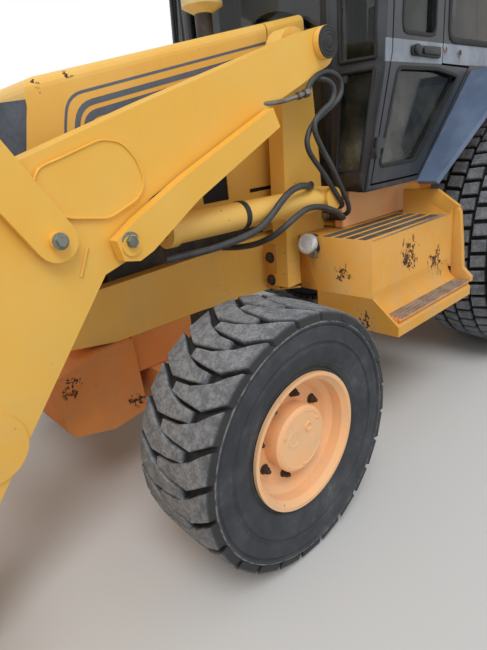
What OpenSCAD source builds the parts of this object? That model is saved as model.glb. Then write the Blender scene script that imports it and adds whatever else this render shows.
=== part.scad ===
// Backhoe loader, a whole machine in millimetres.
// The axes are +X forward, +Y to the left and +Z up; every x below is counted from the rear axle
// and shift_x then moves the whole machine so that the origin lies below the middle of its box.

/* [Running gear] */
// Distance between the axles
wheelbase = 2150; // [2120:5:2180]
// Outside diameter of a front tyre, over its lugs
front_tyre_d = 840; // [820:5:850]
// Width of a front tyre
front_tyre_w = 310; // [290:5:320]
// Distance between the middles of the front tyres
front_track = 1798; // [1780:2:1820]
// Seat diameter of a front rim
front_rim_d = 414; // [400:2:420]
// Outside diameter of a rear tyre, over its lugs
rear_tyre_d = 1330; // [1300:5:1350]
// Width of a rear tyre
rear_tyre_w = 480; // [460:5:490]
// Distance between the middles of the rear tyres
rear_track = 1640; // [1630:2:1660]
// Seat diameter of a rear rim
rear_rim_d = 610; // [600:2:630]
// Height of a tread lug
lug_h = 30; // [24:1:34]
// Distance from a kingpin to the middle of its tyre
kingpin_offset = 199; // [190:1:205]

/* [Frame] */
// Outer face of the frame rails
rail_y = 314; // [306:2:320]
// Thickness of a rail
rail_t = 60; // [40:2:70]
// Underside of the rails
rail_z0 = 649; // [640:1:660]
// Top of the rails
rail_z1 = 890; // [880:1:900]
// Distance from the front axle to the front end of the rails
front_overhang = 380; // [350:5:400]
// Inner face of the loader tower
tower_y0 = 385; // [380:1:388]
// Outer face of the loader tower
tower_y1 = 465; // [455:1:470]

// Radius of the tow pin's hole
tow_r = 18; // [16:1:20]

/* [Bodywork] */
// Half width of the hood and cowl
hood_half = 340; // [330:1:345]
// Thickness of the hood's sheet
hood_t = 6; // [4:1:8]
// Half width of the cab, outside
cab_half = 700; // [690:2:708]
// Thickness of a cab wall or door
wall = 45; // [35:1:50]
// Thickness of a pane of glass
glass_t = 6; // [5:1:8]
// Top of the cab roof
roof_z = 2710; // [2690:5:2740]
// Top of a step box
step_top = 888; // [880:1:895]
// Outer face of a step box
step_y = 839; // [820:1:850]
// Outer edge of the lower tread
tread_y = 958; // [940:2:970]

/* [Loader] */
// Inner face of a loader arm
arm_y0 = 480; // [476:1:484]
// Outer face of a loader arm
arm_y1 = 600; // [596:1:610]
// Radius of the pin that carries an arm
arm_pin_r = 34; // [30:1:38]
// Width of the loader bucket
bucket_w = 2260; // [2220:10:2300]
// Thickness of the loader bucket's plate
bucket_t = 16; // [12:1:20]
// Length of a tilt lever, pin to pin
lever_l = 420; // [410:5:430]
// Outside diameter of a lift barrel
lift_d = 100; // [90:2:104]

/* [Backhoe] */
// Distance of the swing pivot behind the rear axle
swing_x = 1180; // [1170:5:1190]
// Width of the boom
boom_w = 170; // [160:2:172]
// Width of the dipper
dipper_w = 150; // [140:2:152]
// Width of the backhoe bucket
hoe_w = 610; // [450:10:760]
// Distance from the dipper's pivot to the bucket's pivot
dipper_l = 1650; // [1630:5:1670]

/* [Hidden] */
$fn = 48;

yellow = [0.83, 0.60, 0.24];
orange = [0.82, 0.48, 0.26];
slate = [0.33, 0.38, 0.46];
black = [0.10, 0.10, 0.11];
steel = [0.62, 0.63, 0.64];
rubber = [0.20, 0.21, 0.22];
glass = [0.35, 0.45, 0.45, 0.5];

// Moves the machine so that its box is centred on the origin
shift_x = -650.4;
// Gap between faces that move past each other on a pin
gap = 0.5;
// Gap between a piece and its seat
seat = 0.3;

kingpin_y = front_track / 2 - kingpin_offset;
rail_x1 = wheelbase + front_overhang;

// Places in the side view, [x, z], counted from the rear axle on the ground
front_hub = [wheelbase, front_tyre_d / 2];
rear_hub = [0, rear_tyre_d / 2];
arm_pivot = [1448, 1608];
lift_pin = [2412, 1050];
lift_base = [1395, 1035];
lever_pivot = [2611, 1102];
bucket_pivot = [3090, 270];
tilt_base = [1850, 1425];
tilt_lever_r = 160;
tilt_lever_angle = 120.5;
lever_angle = 60;
tube_place = [2905, 605];
boom_foot = [-swing_x - 200, 560];
boom_head = [-swing_x, 3080];
leg_pivot_y = 560;
leg_pivot_z = 480;
leg_x = -900;
hood_hinge = [2600, 905];
hood_ear_y = 262;

// Turns the vector v of the side view by a degrees
function turn(v, a) = [v[0] * cos(a) - v[1] * sin(a), v[0] * sin(a) + v[1] * cos(a)];
function ray(r, a) = [r * cos(a), r * sin(a)];
function angle_of(v) = atan2(v[1], v[0]);
function arc(c, r, a0, a1, n = 8) = [for (i = [0:n]) c + ray(r, a0 + (a1 - a0) * i / n)];
function at(p, y) = [p[0], y, p[1]];

lever_tip = lever_pivot + ray(lever_l, lever_angle);
bucket_top_pin = bucket_pivot + ray(lever_l, lever_angle);
tilt_pin = lever_pivot + ray(tilt_lever_r, tilt_lever_angle);

// Boom frame: u runs from the foot to the head, n points to the cab
boom_l = norm(boom_head - boom_foot);
boom_a = angle_of(boom_head - boom_foot);
function on_boom(u, n) = boom_foot + ray(u, boom_a) + ray(n, boom_a - 90);
boom_ram_base = on_boom(340, 200);
boom_ram_pin = on_boom(1280, 260);
dipper_ram_base = on_boom(1430, 260);
dipper_ram_angle = 68.8;
dipper_tail = 330;
dipper_ram_pin = boom_head + ray(dipper_tail, dipper_ram_angle);

// Dipper frame: u runs from the bucket's pivot to the boom, n points up and back
dipper_a = 39;
hoe_pivot = boom_head - ray(dipper_l, dipper_a);
function on_dipper(u, n) = hoe_pivot + ray(u, dipper_a) + ray(n, dipper_a + 90);
guide_pin = on_dipper(360, 60);
guide_tip = on_dipper(360 + 260 * cos(140), 60 + 260 * sin(140));
hoe_top_pin = on_dipper(-212, 60);
bucket_ram_base = on_dipper(1300, 200);
// Bucket frame: u runs from the pivot to the teeth, n to the back of the shell
bucket_a = dipper_a - 55;
function bk(u, n) = hoe_pivot + ray(u, bucket_a) + ray(n, bucket_a - 90);

// Shapes in the side view, drawn out along Y from y0 to y1
module side(y0, y1) translate([0, y1, 0]) rotate([90, 0, 0]) linear_extrude(y1 - y0) children();
// The same about the middle plane
module mid(w) side(-w / 2, w / 2) children();
// Shapes in the front view, [y, z], drawn out along X from x0 to x1
module front(x0, x1) translate([x0, 0, 0]) rotate([90, 0, 90]) linear_extrude(x1 - x0) children();
// A piece on the left and its mirror image on the right
module both() { children(); mirror([0, 1, 0]) children(); }
module placed() translate([shift_x, 0, 0]) children();
// Round bar along Y
module pin(p, r, y0, y1) translate([p[0], y1, p[1]]) rotate([90, 0, 0]) cylinder(h = y1 - y0, r = r);
// Flat bar with round ends from a to b in the side view
module bar2(a, b, r) polygon(concat(
    arc(a, r, angle_of(b - a) + 90, angle_of(b - a) + 270, 12),
    arc(b, r, angle_of(b - a) - 90, angle_of(b - a) + 90, 12)));
module box3(a, b) translate(a) cube(b - a);
// Plate between four corners a, b, c, d, thickened by the vector t
module plate4(a, b, c, d, t) polyhedron(
    points = [a, b, c, d, a + t, b + t, c + t, d + t],
    faces = [[0, 1, 2, 3], [7, 6, 5, 4], [0, 4, 5, 1], [1, 5, 6, 2], [2, 6, 7, 3], [3, 7, 4, 0]]);

// Ram lying from a to b in the side view: barrel with its base eye at a
module ram_barrel(a, b, d, l, w, y) {
    angle = angle_of(b - a);
    neck = d * 0.75;
    difference() {
        union() {
            pin(a, d * 0.5, y - w / 2, y + w / 2);
            translate(at(a, y)) rotate([0, 90 - angle, 0]) {
                translate([0, 0, d * 0.2]) cylinder(h = neck, d = min(w, d) - 4);
                translate([0, 0, neck]) cylinder(h = l - neck, d = d);
                translate([0, 0, l - d * 0.35]) cylinder(h = d * 0.35, d = d * 1.14);
            }
        }
        translate(at(a, y)) rotate([0, 90 - angle, 0]) translate([0, 0, d * 0.82])
            cylinder(h = l, d = d * 0.5 + 2 * gap);
    }
}
// Rod with its eye at b; tail is how far its inner end stands from a while the machine is parked
module ram_rod(a, b, d, tail, w, y) {
    angle = angle_of(b - a);
    pin(b, d * 0.45, y - w / 2, y + w / 2);
    translate(at(a, y)) rotate([0, 90 - angle, 0]) translate([0, 0, tail])
        cylinder(h = norm(b - a) - tail - d * 0.2, d = d * 0.5);
}

// Frame and axles
module main_frame() color(yellow) placed() {
    pin_y = arm_y1 + 2;
    difference() {
        union() {
            both() {
                side(rail_y - rail_t, rail_y) polygon([
                    [-980, rail_z0 - 60], [-980, rail_z1], [1600, rail_z1], [rail_x1, rail_z1 - 40],
                    [rail_x1, rail_z0 + 30], [2350, rail_z0], [1950, rail_z0], [400, rail_z0 - 60]]);
                // Loader tower
                side(tower_y0, tower_y1) polygon(concat([[1290, rail_z0 + 20], [1570, rail_z0 + 20], [1550, 1200]],
                    arc(arm_pivot, 85, 0, 180, 8), [[1320, 1200]]));
                box3([1300, rail_y - rail_t, rail_z0 + 20], [1560, tower_y1, rail_z1 - 20]);
                pin(arm_pivot, arm_pin_r, tower_y0, pin_y);
                translate(at(arm_pivot, pin_y)) rotate([-90, 0, 0]) cylinder(h = 24, r = 56);
                // Pin that carries the lift barrel
                pin(lift_base, 28, tower_y0, arm_y1 - 6);
                translate(at(lift_base, arm_y1 - 12)) rotate([-90, 0, 0]) cylinder(h = 10, r = 48);
                // Rear columns that carry the stabilizers
                box3([-985, 380, 300], [-960, 520, 1230]);
                box3([-840, 380, 300], [-815, 520, 1230]);
                box3([-985, 380, 300], [-815, 400, 1230]);
                box3([-960, 380, 300], [-840, 520, 330]);
                // Ears and pins that the hood tips forward on
                side(hood_ear_y, hood_ear_y + 14) bar2([2480, 866], hood_hinge, 20);
                pin(hood_hinge, 10, hood_ear_y - 16, hood_ear_y + 30);
            }
            // Cross members
            box3([rail_x1 - 90, -rail_y, rail_z0 + 40], [rail_x1 - 30, rail_y, rail_z1 - 60]);
            box3([600, -rail_y, rail_z0], [700, rail_y, rail_z1 - 90]);
            box3([-600, -rail_y, rail_z0 - 40], [-500, rail_y, rail_z1 - 90]);
            // Rear cross box and the hinge ears of the swing tower
            box3([-985, -400, 300], [-945, 400, 820]);
            for (z = [300, 700]) difference() {
                union() {
                    translate([-swing_x, 0, z]) cylinder(h = 45, r = z > 500 ? 64 : 75);
                    translate([-swing_x, -64, z]) cube([swing_x - 960, 128, 45]);
                }
                translate([-swing_x, 0, z - 1]) cylinder(h = 47, r = 38 + gap);
            }
        }
        // Opening for a tow rope through the front cross member
        translate([rail_x1 - 100, 0, rail_z0 + 110]) rotate([0, 90, 0]) cylinder(h = 100, r = 26);
        // Saddle of the rear axle
        pin(rear_hub, 150 + gap, -rail_y - 1, rail_y + 1);
    }
    both() front(leg_x - 68, leg_x - 52) difference() {
        union() {
            translate([380, 420]) square([leg_pivot_y - 380, 120]);
            translate([leg_pivot_y, leg_pivot_z]) circle(60);
        }
    }
    both() front(leg_x + 52, leg_x + 68) difference() {
        union() {
            translate([380, 420]) square([leg_pivot_y - 380, 120]);
            translate([leg_pivot_y, leg_pivot_z]) circle(60);
        }
    }
    both() translate([leg_x - 68, leg_pivot_y, leg_pivot_z]) rotate([0, 90, 0]) cylinder(h = 136, r = 26);
    both() translate([leg_x - 62, 450, 1180]) rotate([0, 90, 0]) cylinder(h = 124, r = 20);
}

module engine_block() color(black) placed()
    box3([1480, -240, rail_z0 + 60], [2300, 240, 1380]);

module front_axle() color(orange) placed() {
    z = front_hub[1];
    // Beam, hung from the frame on a block
    front(wheelbase - 80, wheelbase + 80) polygon([[-560, z - 50], [-200, z - 85], [200, z - 85], [560, z - 50],
        [560, z + 60], [200, z + 85], [-200, z + 85], [-560, z + 60]]);
    box3([wheelbase - 140, -rail_y, z + 80], [wheelbase + 140, rail_y, rail_z0 - 1]);
    both() {
        for (s = [-1, 1]) translate([wheelbase, kingpin_y, z + s * 145 - 18]) {
            cylinder(h = 36, r = 58);
            translate([-58, -160, 0]) cube([116, 160, 36]);
        }
        box3([wheelbase - 58, kingpin_y - 160, z - 163], [wheelbase + 58, kingpin_y - 120, z + 163]);
        for (s = [-1, 1]) translate([wheelbase, kingpin_y, z + s * 122 - 22]) cylinder(h = 44, r = 22);
    }
}

module rear_axle() color(yellow) placed() {
    z = rear_hub[1];
    spindle_y = rear_track / 2 + 60;
    translate([0, 0, z]) rotate([-90, 0, 0]) cylinder(h = 2 * rail_y, r = 150, center = true);
    both() {
        translate([0, rail_y - 10, z]) rotate([-90, 0, 0]) cylinder(h = rear_track / 2 - 200 - rail_y, r1 = 140, r2 = 105);
        translate([0, 0, z]) rotate([-90, 0, 0]) cylinder(h = spindle_y, r = 60 - gap);
    }
}

module nose_weight() color(orange) placed() difference() {
    x0 = wheelbase + 140;
    top = rail_z0 - 1 - seat;
    side(-340, 340) polygon(concat([[x0, 350], [x0 + 150, 330]], arc([x0 + 260, 420], 60, -90, 0, 4),
        [[x0 + 320, 600], [x0 + 160, top], [x0 + 10, top]]));
    // Tow jaw and the hole of its pin
    box3([x0 + 190, -60, 420], [x0 + 410, 60, 500]);
    translate([x0 + 260, 0, 300]) cylinder(h = 400, r = tow_r);
    translate([x0 + 260, 0, 600]) cylinder(h = 100, r = 42);
}

module front_grille() color(slate) placed() {
    x0 = 2494 + seat;
    x1 = 2625;
    difference() {
        union() {
            side(-hood_half, hood_half) polygon(concat([[x0, rail_z1 + 10], [x1 - 20, rail_z1 + 10]],
                [[x1 - 8, 1300]], arc([x1 - 70, 1398], 62, 0, 80, 5), [[x0, 1466]]));
            both() for (y = [hood_ear_y - 18, hood_ear_y + 16]) side(y, y + 16) bar2(hood_hinge, hood_hinge + [0, 40], 20);
        }
        both() side(hood_ear_y - 2, hood_ear_y + 16) bar2([2480, 866], hood_hinge, 23);
        both() pin(hood_hinge, 10 + gap, hood_ear_y - 20, hood_ear_y + 34);
        box3([x0 - 1, -hood_half + 25, rail_z1 + 40], [x1 - 45, hood_half - 25, 1440]);
        for (i = [0:13]) box3([x0, -hood_half + 60, rail_z1 + 70 + i * 26], [x1 + 10, hood_half - 60, rail_z1 + 84 + i * 26]);
        both() box3([x0, 80, 1290], [x1 + 10, hood_half - 50, 1400]);
    }
}

// Bent sheet of hood and cowl: its crest slopes down to the front, its upper edges are rounded
hood_slope = 11.58;
hood_crest = [2468, 1526];
hood_r = 34;
module bonnet(t = 0) translate(at(hood_crest, 0)) rotate([0, hood_slope, 0]) front(-1400, 200) polygon(concat(
    [[t - hood_half, -1000]], arc([hood_r - hood_half, -hood_r], hood_r - t, 180, 90, 5),
    arc([hood_half - hood_r, -hood_r], hood_r - t, 90, 0, 5), [[hood_half - t, -1000]]));

// Pressed box of the hood: sheet over the engine, open below and at both ends
module hood() color(yellow) placed() {
    roll = [2434, 1471.7];
    difference() {
        intersection() {
            bonnet();
            side(-hood_half - 1, hood_half + 1) polygon(concat([[1470, 1060], [2494, 1060]],
                arc(roll, 60, 0, 90 - hood_slope, 6), [[2440, 1900], [1470, 1900]]));
        }
        intersection() {
            bonnet(hood_t);
            side(-hood_half, hood_half) polygon(concat([[1400, 1000], [2600, 1000], [2600, 1430], [roll[0] + 60 - hood_t, 1430]],
                arc(roll, 60 - hood_t, 0, 90 - hood_slope, 6), [[2440, 1900], [1400, 1900]]));
        }
        // Screened opening and the slot of the grip, on both sides
        both() box3([1756, hood_half - 20, 1078], [1891, hood_half + 20, 1171]);
        both() box3([1480, hood_half - 20, 1088], [1636, hood_half + 20, 1104]);
    }
}

module cowl() color(yellow) placed() difference() {
    intersection() {
        bonnet();
        box3([1236, -hood_half - 1, 900], [1462, hood_half + 1, 1900]);
    }
    intersection() {
        bonnet(hood_t);
        box3([1200, -hood_half, 880], [1500, hood_half, 1900]);
    }
    translate([1400, -120, 1700]) cylinder(h = 200, r = 40 + seat);
}

module exhaust() color(black) placed() translate([1400, -120, 0]) {
    translate([0, 0, 1300]) cylinder(h = 642, r = 40);
    translate([0, 0, 1340]) rotate([0, 90, 0]) cylinder(h = 80 - seat, r = 40);
    translate([0, 0, 1860]) cylinder(h = 30, r1 = 40, r2 = 95);
    translate([0, 0, 1890]) cylinder(h = 420, r = 95);
    translate([0, 0, 2310]) cylinder(h = 30, r1 = 95, r2 = 40);
    translate([0, 0, 2340]) cylinder(h = 220, r = 34);
}

// Box with a step on each side
module step_boxes() color(yellow) placed() both() {
    x0 = 840;
    x1 = 1485;
    difference() {
        front(x0, x1) polygon([[rail_y + 1, step_top], [step_y, step_top], [step_y, 655], [tread_y, 556],
            [tread_y, 515], [560, 515], [560, 650], [rail_y + 1, 650]]);
        front(x0 - 10, x1 - 12) polygon([[step_y + 1, 900], [step_y + 1, 655], [step_y, 575], [tread_y + 20, 575], [tread_y + 20, 900]]);
        front(x0 - 10, x1 - 12) polygon([[rail_y + 80, 600], [step_y - 30, 600], [step_y - 30, 500], [rail_y + 80, 500]]);
        // Room for the foot of the loader tower
        box3([1285, 200, 640], [x1 + 10, tower_y1 + 3, 900]);
    }
    box3([x0 - 25, 600, 640], [x0, 880, 1000]);
}

// Cab
cab_front = 1230;
cab_rear = -640;
waist = 1576;
// A door turns about the raked line of its hinges, which starts at door_hinge and leans back
door_hinge = [1262, cab_half + 18, 1180];
door_rake = 7.63;
// Places of the two hinges along that line, and the size of a knuckle
door_knuckles = [0, 1060];
knuckle_h = 40;
knuckle_r = 12;
module on_hinge(t) translate(door_hinge) rotate([0, -door_rake, 0]) translate([0, 0, t]) children();
// Front edge of the cab's side, and the height where the corner panes meet
corner_low = [1320, 1050];
corner_mid = [1174, 1540];
corner_top = [1120, 2560];
module cab_side() polygon([corner_low, corner_mid, corner_top, [cab_rear + 40, 2560], [cab_rear, 1540],
    [cab_rear, 1500], [400, 1500], [875, 1050]]);
module door_shape(inset = 0) polygon([[1274 - inset, 1080 + inset], [1120 - inset, waist], [1085 - inset, 2470 - inset],
    [700 + inset, 2470 - inset], [700 + inset, waist - 40 - inset * 0.2], [430 + inset * 1.6, 1528 - inset * 0.6],
    [885 + inset * 0.4, 1080 + inset]]);

// Chamfered front corner, from the side post to the windscreen's frame: a part of it between the
// shares s0 and s1 of its width and t0 and t1 of its height, deep below its surface, t thick
module corner(low, high, s0, s1, t0, t1, deep, t) {
    q = [[low[0], cab_half - 8, low[1]], [high[0], cab_half - 8, high[1]], [cab_front, 480, high[1]],
        [low[1] < 1100 ? cab_front + 30 : cab_front, 480, low[1]]];
    function on(s, t) = (1 - s) * ((1 - t) * q[0] + t * q[1]) + s * ((1 - t) * q[3] + t * q[2]);
    translate([-deep, -deep, 0]) plate4(on(s0, t1), on(s0, t0), on(s1, t0), on(s1, t1), [-t, -t, 0]);
}
pane_s = [0.16, 0.84];
pane_low = [0.16, 0.96];
pane_top = [0.02, 0.95];

module cab_posts() color(slate) placed() {
    both() side(cab_half - wall, cab_half) difference() {
        cab_side();
        offset(delta = 9) door_shape();
        polygon([[640, 1640], [640, 2470], [cab_rear + 100, 2470], [cab_rear + 70, 1640]]);
    }
    // Front frame with the windscreen's opening
    difference() {
        box3([cab_front - 40, -480, 1050], [cab_front, 480, 2560]);
        box3([cab_front - 50, -440, 1180], [cab_front + 10, 440, 2490]);
    }
    both() {
        difference() {
            corner(corner_mid, corner_top, 0, 1, 0, 1, 0, 30);
            corner(corner_mid, corner_top, pane_s[0], pane_s[1], pane_top[0], pane_top[1], -6, 44);
        }
        difference() {
            corner(corner_low, corner_mid, 0, 1, 0, 1, 0, 24);
            corner(corner_low, corner_mid, pane_s[0], pane_s[1], pane_low[0], pane_low[1], -6, 40);
        }
    }
    both() for (t = door_knuckles) on_hinge(t) {
        cylinder(h = knuckle_h, r = knuckle_r);
        translate([-10, cab_half - 2 - door_hinge[1], 0]) cube([20, door_hinge[1] - cab_half + 2, knuckle_h]);
    }
    // Rear frame
    difference() {
        box3([cab_rear, -cab_half + wall, 1540], [cab_rear + 40, cab_half - wall, 2560]);
        box3([cab_rear - 10, -cab_half + wall + 60, 1640], [cab_rear + 50, cab_half - wall - 60, 2480]);
    }
}

module cab_roof() color(slate) placed() difference() {
    side(-cab_half - 20, cab_half + 20) polygon([[cab_rear - 40, 2561], [1260, 2561], [1280, 2610], [1230, roof_z - 20], [1100, roof_z],
        [cab_rear + 60, roof_z], [cab_rear - 40, roof_z - 40]]);
    box3([cab_rear + 40, -cab_half + wall, 2550], [1150, cab_half - wall, 2640]);
}

module cab_glass() color(glass) placed() {
    box3([cab_front - 24, -440 + seat, 1180 + seat], [cab_front - 24 + glass_t, 440 - seat, 2490 - seat]);
    box3([cab_rear + 20, -cab_half + wall + 60 + seat, 1640 + seat], [cab_rear + 20 + glass_t, cab_half - wall - 60 - seat, 2480 - seat]);
    both() {
        corner(corner_mid, corner_top, pane_s[0] + 0.003, pane_s[1] - 0.003, pane_top[0] + 0.001, pane_top[1] - 0.001, 8, glass_t);
        corner(corner_low, corner_mid, pane_s[0] + 0.003, pane_s[1] - 0.003, pane_low[0] + 0.001, pane_low[1] - 0.001, 8, glass_t);
    }
    both() side(cab_half - 20, cab_half - 20 + glass_t) offset(delta = -seat)
        polygon([[640, 1640], [640, 2470], [cab_rear + 100, 2470], [cab_rear + 70, 1640]]);
}

module cab_floor() color(orange) placed() {
    box3([cab_rear, -560, 1010], [1236, 560, 1049]);
    both() box3([746, 520, rail_z1 + 1], [1290, 560, 1010]);
    // Walls of the wheel arch
    both() box3([cab_rear, 545, 1040], [545, 560, 1362]);
    both() box3([cab_rear, 545, 1352], [540, cab_half, 1364]);
    both() side(cab_half - wall, cab_half) polygon([[cab_rear, 1360], [530, 1360], [400, 1484], [390, 1499], [cab_rear, 1499]]);
    both() side(545, cab_half) polygon([[876, 1048], [860, 1030], [520, 1352], [530, 1364], [540, 1364]]);
    box3([cab_rear, -cab_half + wall, 1049], [cab_rear + 40, cab_half - wall, 1539]);
    both() box3([-500, 200, rail_z1], [-440, 300, 1010]);
}

module cab_interior() color(black) placed() {
    box3([-100, -230, 1050], [420, 230, 1380]);
    box3([1020, -300, 1050], [1160, 300, 1650]);
    translate([1000, 0, 1640]) rotate([0, -35, 0]) cylinder(h = 120, r = 30);
    translate([940, 0, 1740]) rotate([0, -35, 0]) rotate_extrude() translate([190, 0]) circle(14);
    translate([940, 0, 1740]) rotate([0, -35, 0]) for (a = [0, 120, 240]) rotate(a) translate([0, -14, -8]) cube([190, 28, 16]);
}

module seat_cushion() color(black) placed() {
    box3([-90, -230, 1381], [400, 230, 1500]);
    side(-220, 220) polygon([[-100, 1501], [20, 1501], [-60, 2050], [-160, 2050]]);
}

module rear_fenders() color(slate) placed() both() {
    y0 = cab_half + 1;
    y1 = rear_track / 2 + rear_tyre_w / 2 + 10;
    difference() {
        side(y0, y1) polygon([[900, 1045], [880, 1030], [380, 1494], [-560, 1494], [-700, 1250], [-715, 1262], [-575, 1518], [390, 1518]]);
        translate([900, y1 + 60, 1000]) rotate([0, 0, -28]) cube([600, 260, 600], center = true);
    }
}

module hood_lamps() color(glass) placed() both()
    box3([2560, 80 + seat, 1290 + seat], [2612, hood_half - 50 - seat, 1400 - seat]);

module lamps() color(glass) placed() {
    both() {
        side(440, 600) polygon([[1281, 2611], [1320, 2611], [1320, 2690], [1231.5, 2690]]);
        box3([cab_rear - 90, 440, 2580], [cab_rear - 40 - seat, 600, 2665]);
    }
}

// Doors hang on their front edge
module door_leaf() {
    side(cab_half - wall, cab_half) difference() {
        door_shape();
        intersection() {
            door_shape(70);
            translate([0, 1650]) square([2000, 1000]);
        }
        intersection() {
            door_shape(62);
            translate([0, 1000]) square([2000, 520]);
        }
    }
    // Knuckles and straps of its two hinges
    for (t = door_knuckles) on_hinge(t + knuckle_h + gap) {
        cylinder(h = knuckle_h, r = knuckle_r);
        translate([-60, cab_half + 1 - door_hinge[1], 0]) cube([60, 12, knuckle_h]);
        translate([-60, cab_half - 2 - door_hinge[1], 0]) cube([28, 14, knuckle_h]);
    }
}
module door_pane() side(cab_half - 25, cab_half - 25 + glass_t) {
    intersection() { door_shape(71); translate([0, 1651]) square([2000, 1000]); }
    intersection() { door_shape(63); translate([0, 1000]) square([2000, 519]); }
}
module door_left() color(slate) placed() door_leaf();
module door_right() color(slate) placed() mirror([0, 1, 0]) door_leaf();
module door_glass_left() color(glass) placed() door_pane();
module door_glass_right() color(glass) placed() mirror([0, 1, 0]) door_pane();

// Loader arms
module arm_shape() polygon(concat(
    arc(arm_pivot + [0, -12], 69, 74, 247, 10),
    [[1799, 1379], [2295, 1163]],
    arc(lift_pin, 64, 140, 215, 5),
    [[2482, 975], [2914, 444]],
    arc(bucket_pivot, 75, 215, 380, 8),
    [[2860, 1090], [2790, 1190]],
    [[2690, 1290], [2640, 1306], [2244, 1431]]));

module loader_arms() color(yellow) placed() {
    both() difference() {
        union() {
            side(arm_y0, arm_y1) arm_shape();
            pin(tube_place, 105, arm_y1 - 2, arm_y1 + 5);
            // Bracket that carries the tilt barrel
            side(arm_y0 - 92, arm_y0 + 2) polygon(concat(arc(tilt_base, 42, 60, -200, 8), [tilt_base + [-90, 60], tilt_base + [60, 60]]));
            pin(lift_pin, 30, arm_y1 - 2, arm_y1 + 56);
            // Plate that stiffens the bend of the arm
            side(arm_y1 - 2, arm_y1 + 6) polygon([[2631, 1244], [2609, 1282], [2545, 1300], [2424, 1337], [2365, 1326],
                [2326, 1280], [2310, 1223], [2320, 1191], [2346, 1166], [2440, 1130], [2560, 1150], [2640, 1200]]);
            // Lock strut, stored along the underside
            side(arm_y1 + 8, arm_y1 + 50) polygon([[2440, 1010], [2455, 1070], [2380, 1118], [2190, 1215], [1790, 1392],
                [1760, 1330], [2150, 1140], [2340, 1020], [2390, 1000]]);
            pin([1840, 1340], 16, arm_y1 - 2, arm_y1 + 20);
        }
        pin(arm_pivot, arm_pin_r + gap, arm_y0 - 10, arm_y1 + 1);
        pin(lever_pivot, 30 + gap, arm_y0 - 10, arm_y1 + 10);
        pin(bucket_pivot, 28 + gap, arm_y0 - 10, arm_y1 + 10);
        // Slot for the eye of the lift rod
        side(arm_y0 + 14, arm_y1 - 14) {
            translate(lift_pin) circle(72);
            polygon([lift_pin + [-40, 70], lift_pin + [60, -60], lift_pin + [-120, -200], lift_pin + [-260, 60]]);
        }
        // Gap for the eye of the tilt barrel
        side(arm_y0 - 77, arm_y0 - 31) translate(tilt_base) circle(62);
    }
    both() pin(tilt_base, 20, arm_y0 - 94, arm_y0);
    translate([tube_place[0], 0, tube_place[1]]) rotate([90, 0, 0]) cylinder(h = 2 * arm_y0 + 10, r = 75, center = true);
}

// Loader bucket, open to the front
module loader_bucket() color(yellow) placed() {
    inner = bucket_w / 2 - bucket_t;
    difference() {
        side(-bucket_w / 2, bucket_w / 2) polygon(concat([[4010, 0], [3370, 0]],
            arc([3410, 150], 150, 255, 175, 6), [[3470, 1000], [3590, 1010], [3590, 985], [3960, 60], [4010, 14]]));
        side(-inner, inner) polygon(concat([[4100, bucket_t], [3390, bucket_t]],
            arc([3410 + bucket_t, 150], 150 - bucket_t, 255, 175, 6), [[3470 + bucket_t, 1000 - bucket_t], [3900, 985]]));
    }
    // Ears that hold the arms and the links
    both() {
        for (y = [arm_y0 - 26, arm_y1 + 11]) side(y, y + 20) {
            polygon(concat(arc(bucket_pivot, 72, 100, 290, 8), [[3372, 8], [3268, 160], [3428, 800]],
                arc(bucket_top_pin, 52, 40, 200, 6)));
        }
        pin(bucket_pivot, 28, arm_y0 - 36, arm_y1 + 36);
        pin(bucket_top_pin, 24, arm_y1 + 11, arm_y1 + 68);
    }
}

module tilt_levers() color(yellow) placed() both() {
    difference() {
        side(arm_y1 + 12, arm_y1 + 32) bar2(lever_pivot, lever_tip, 58);
    }
    pin(lever_pivot, 30, arm_y0 - 28, arm_y1 + 32);
    pin(lever_pivot, 24, arm_y1 + 32, arm_y1 + 52);
    side(arm_y0 - 28, arm_y0 - 8) bar2(lever_pivot, tilt_pin, 46);
    pin(lever_tip, 24, arm_y1 + 12, arm_y1 + 68);
}

module bucket_links() color(yellow) placed() both() difference() {
    side(arm_y1 + 38, arm_y1 + 62) bar2(lever_tip, bucket_top_pin, 44);
    pin(lever_tip, 24 + gap, arm_y1, arm_y1 + 100);
    pin(bucket_top_pin, 24 + gap, arm_y1, arm_y1 + 100);
}

lift_len = 830;
lift_y = (arm_y0 + arm_y1) / 2;
module lift_barrels() color(yellow) placed() both() difference() {
    ram_barrel(lift_base, lift_pin, lift_d, lift_len, 90, lift_y);
    pin(lift_base, 28 + gap, arm_y0, arm_y1);
}
module lift_rods() color(steel) placed() both() ram_rod(lift_base, lift_pin, lift_d, 125, 80, lift_y);

tilt_len = 520;
tilt_y = arm_y0 - 54;
module tilt_barrels() color(yellow) placed() both() difference() {
    ram_barrel(tilt_base, tilt_pin, 64, tilt_len, 40, tilt_y);
    pin(tilt_base, 20 + gap, arm_y0 - 100, arm_y0);
}
module tilt_rods() color(steel) placed() both() {
    ram_rod(tilt_base, tilt_pin, 64, 165, 40, tilt_y);
}

// Front wheels
module knuckle() {
    z = front_hub[1];
    difference() {
        translate([wheelbase, kingpin_y, z - 117]) cylinder(h = 234, r = 62);
        for (s = [-1, 1]) translate([wheelbase, kingpin_y, z + s * 122 - 23]) cylinder(h = 46, r = 22 + gap);
    }
    translate([wheelbase, kingpin_y, z]) rotate([-90, 0, 0]) cylinder(h = front_track / 2 + 70 - kingpin_y, r = 44);
    translate([wheelbase, kingpin_y, z]) rotate([-90, 0, 0]) cylinder(h = 90, r = 80);
    box3([wheelbase - 190, kingpin_y - 20, z - 60], [wheelbase, kingpin_y + 20, z - 20]);
}
module knuckle_left() color(black) placed() knuckle();
module knuckle_right() color(black) placed() mirror([0, 1, 0]) knuckle();

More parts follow.
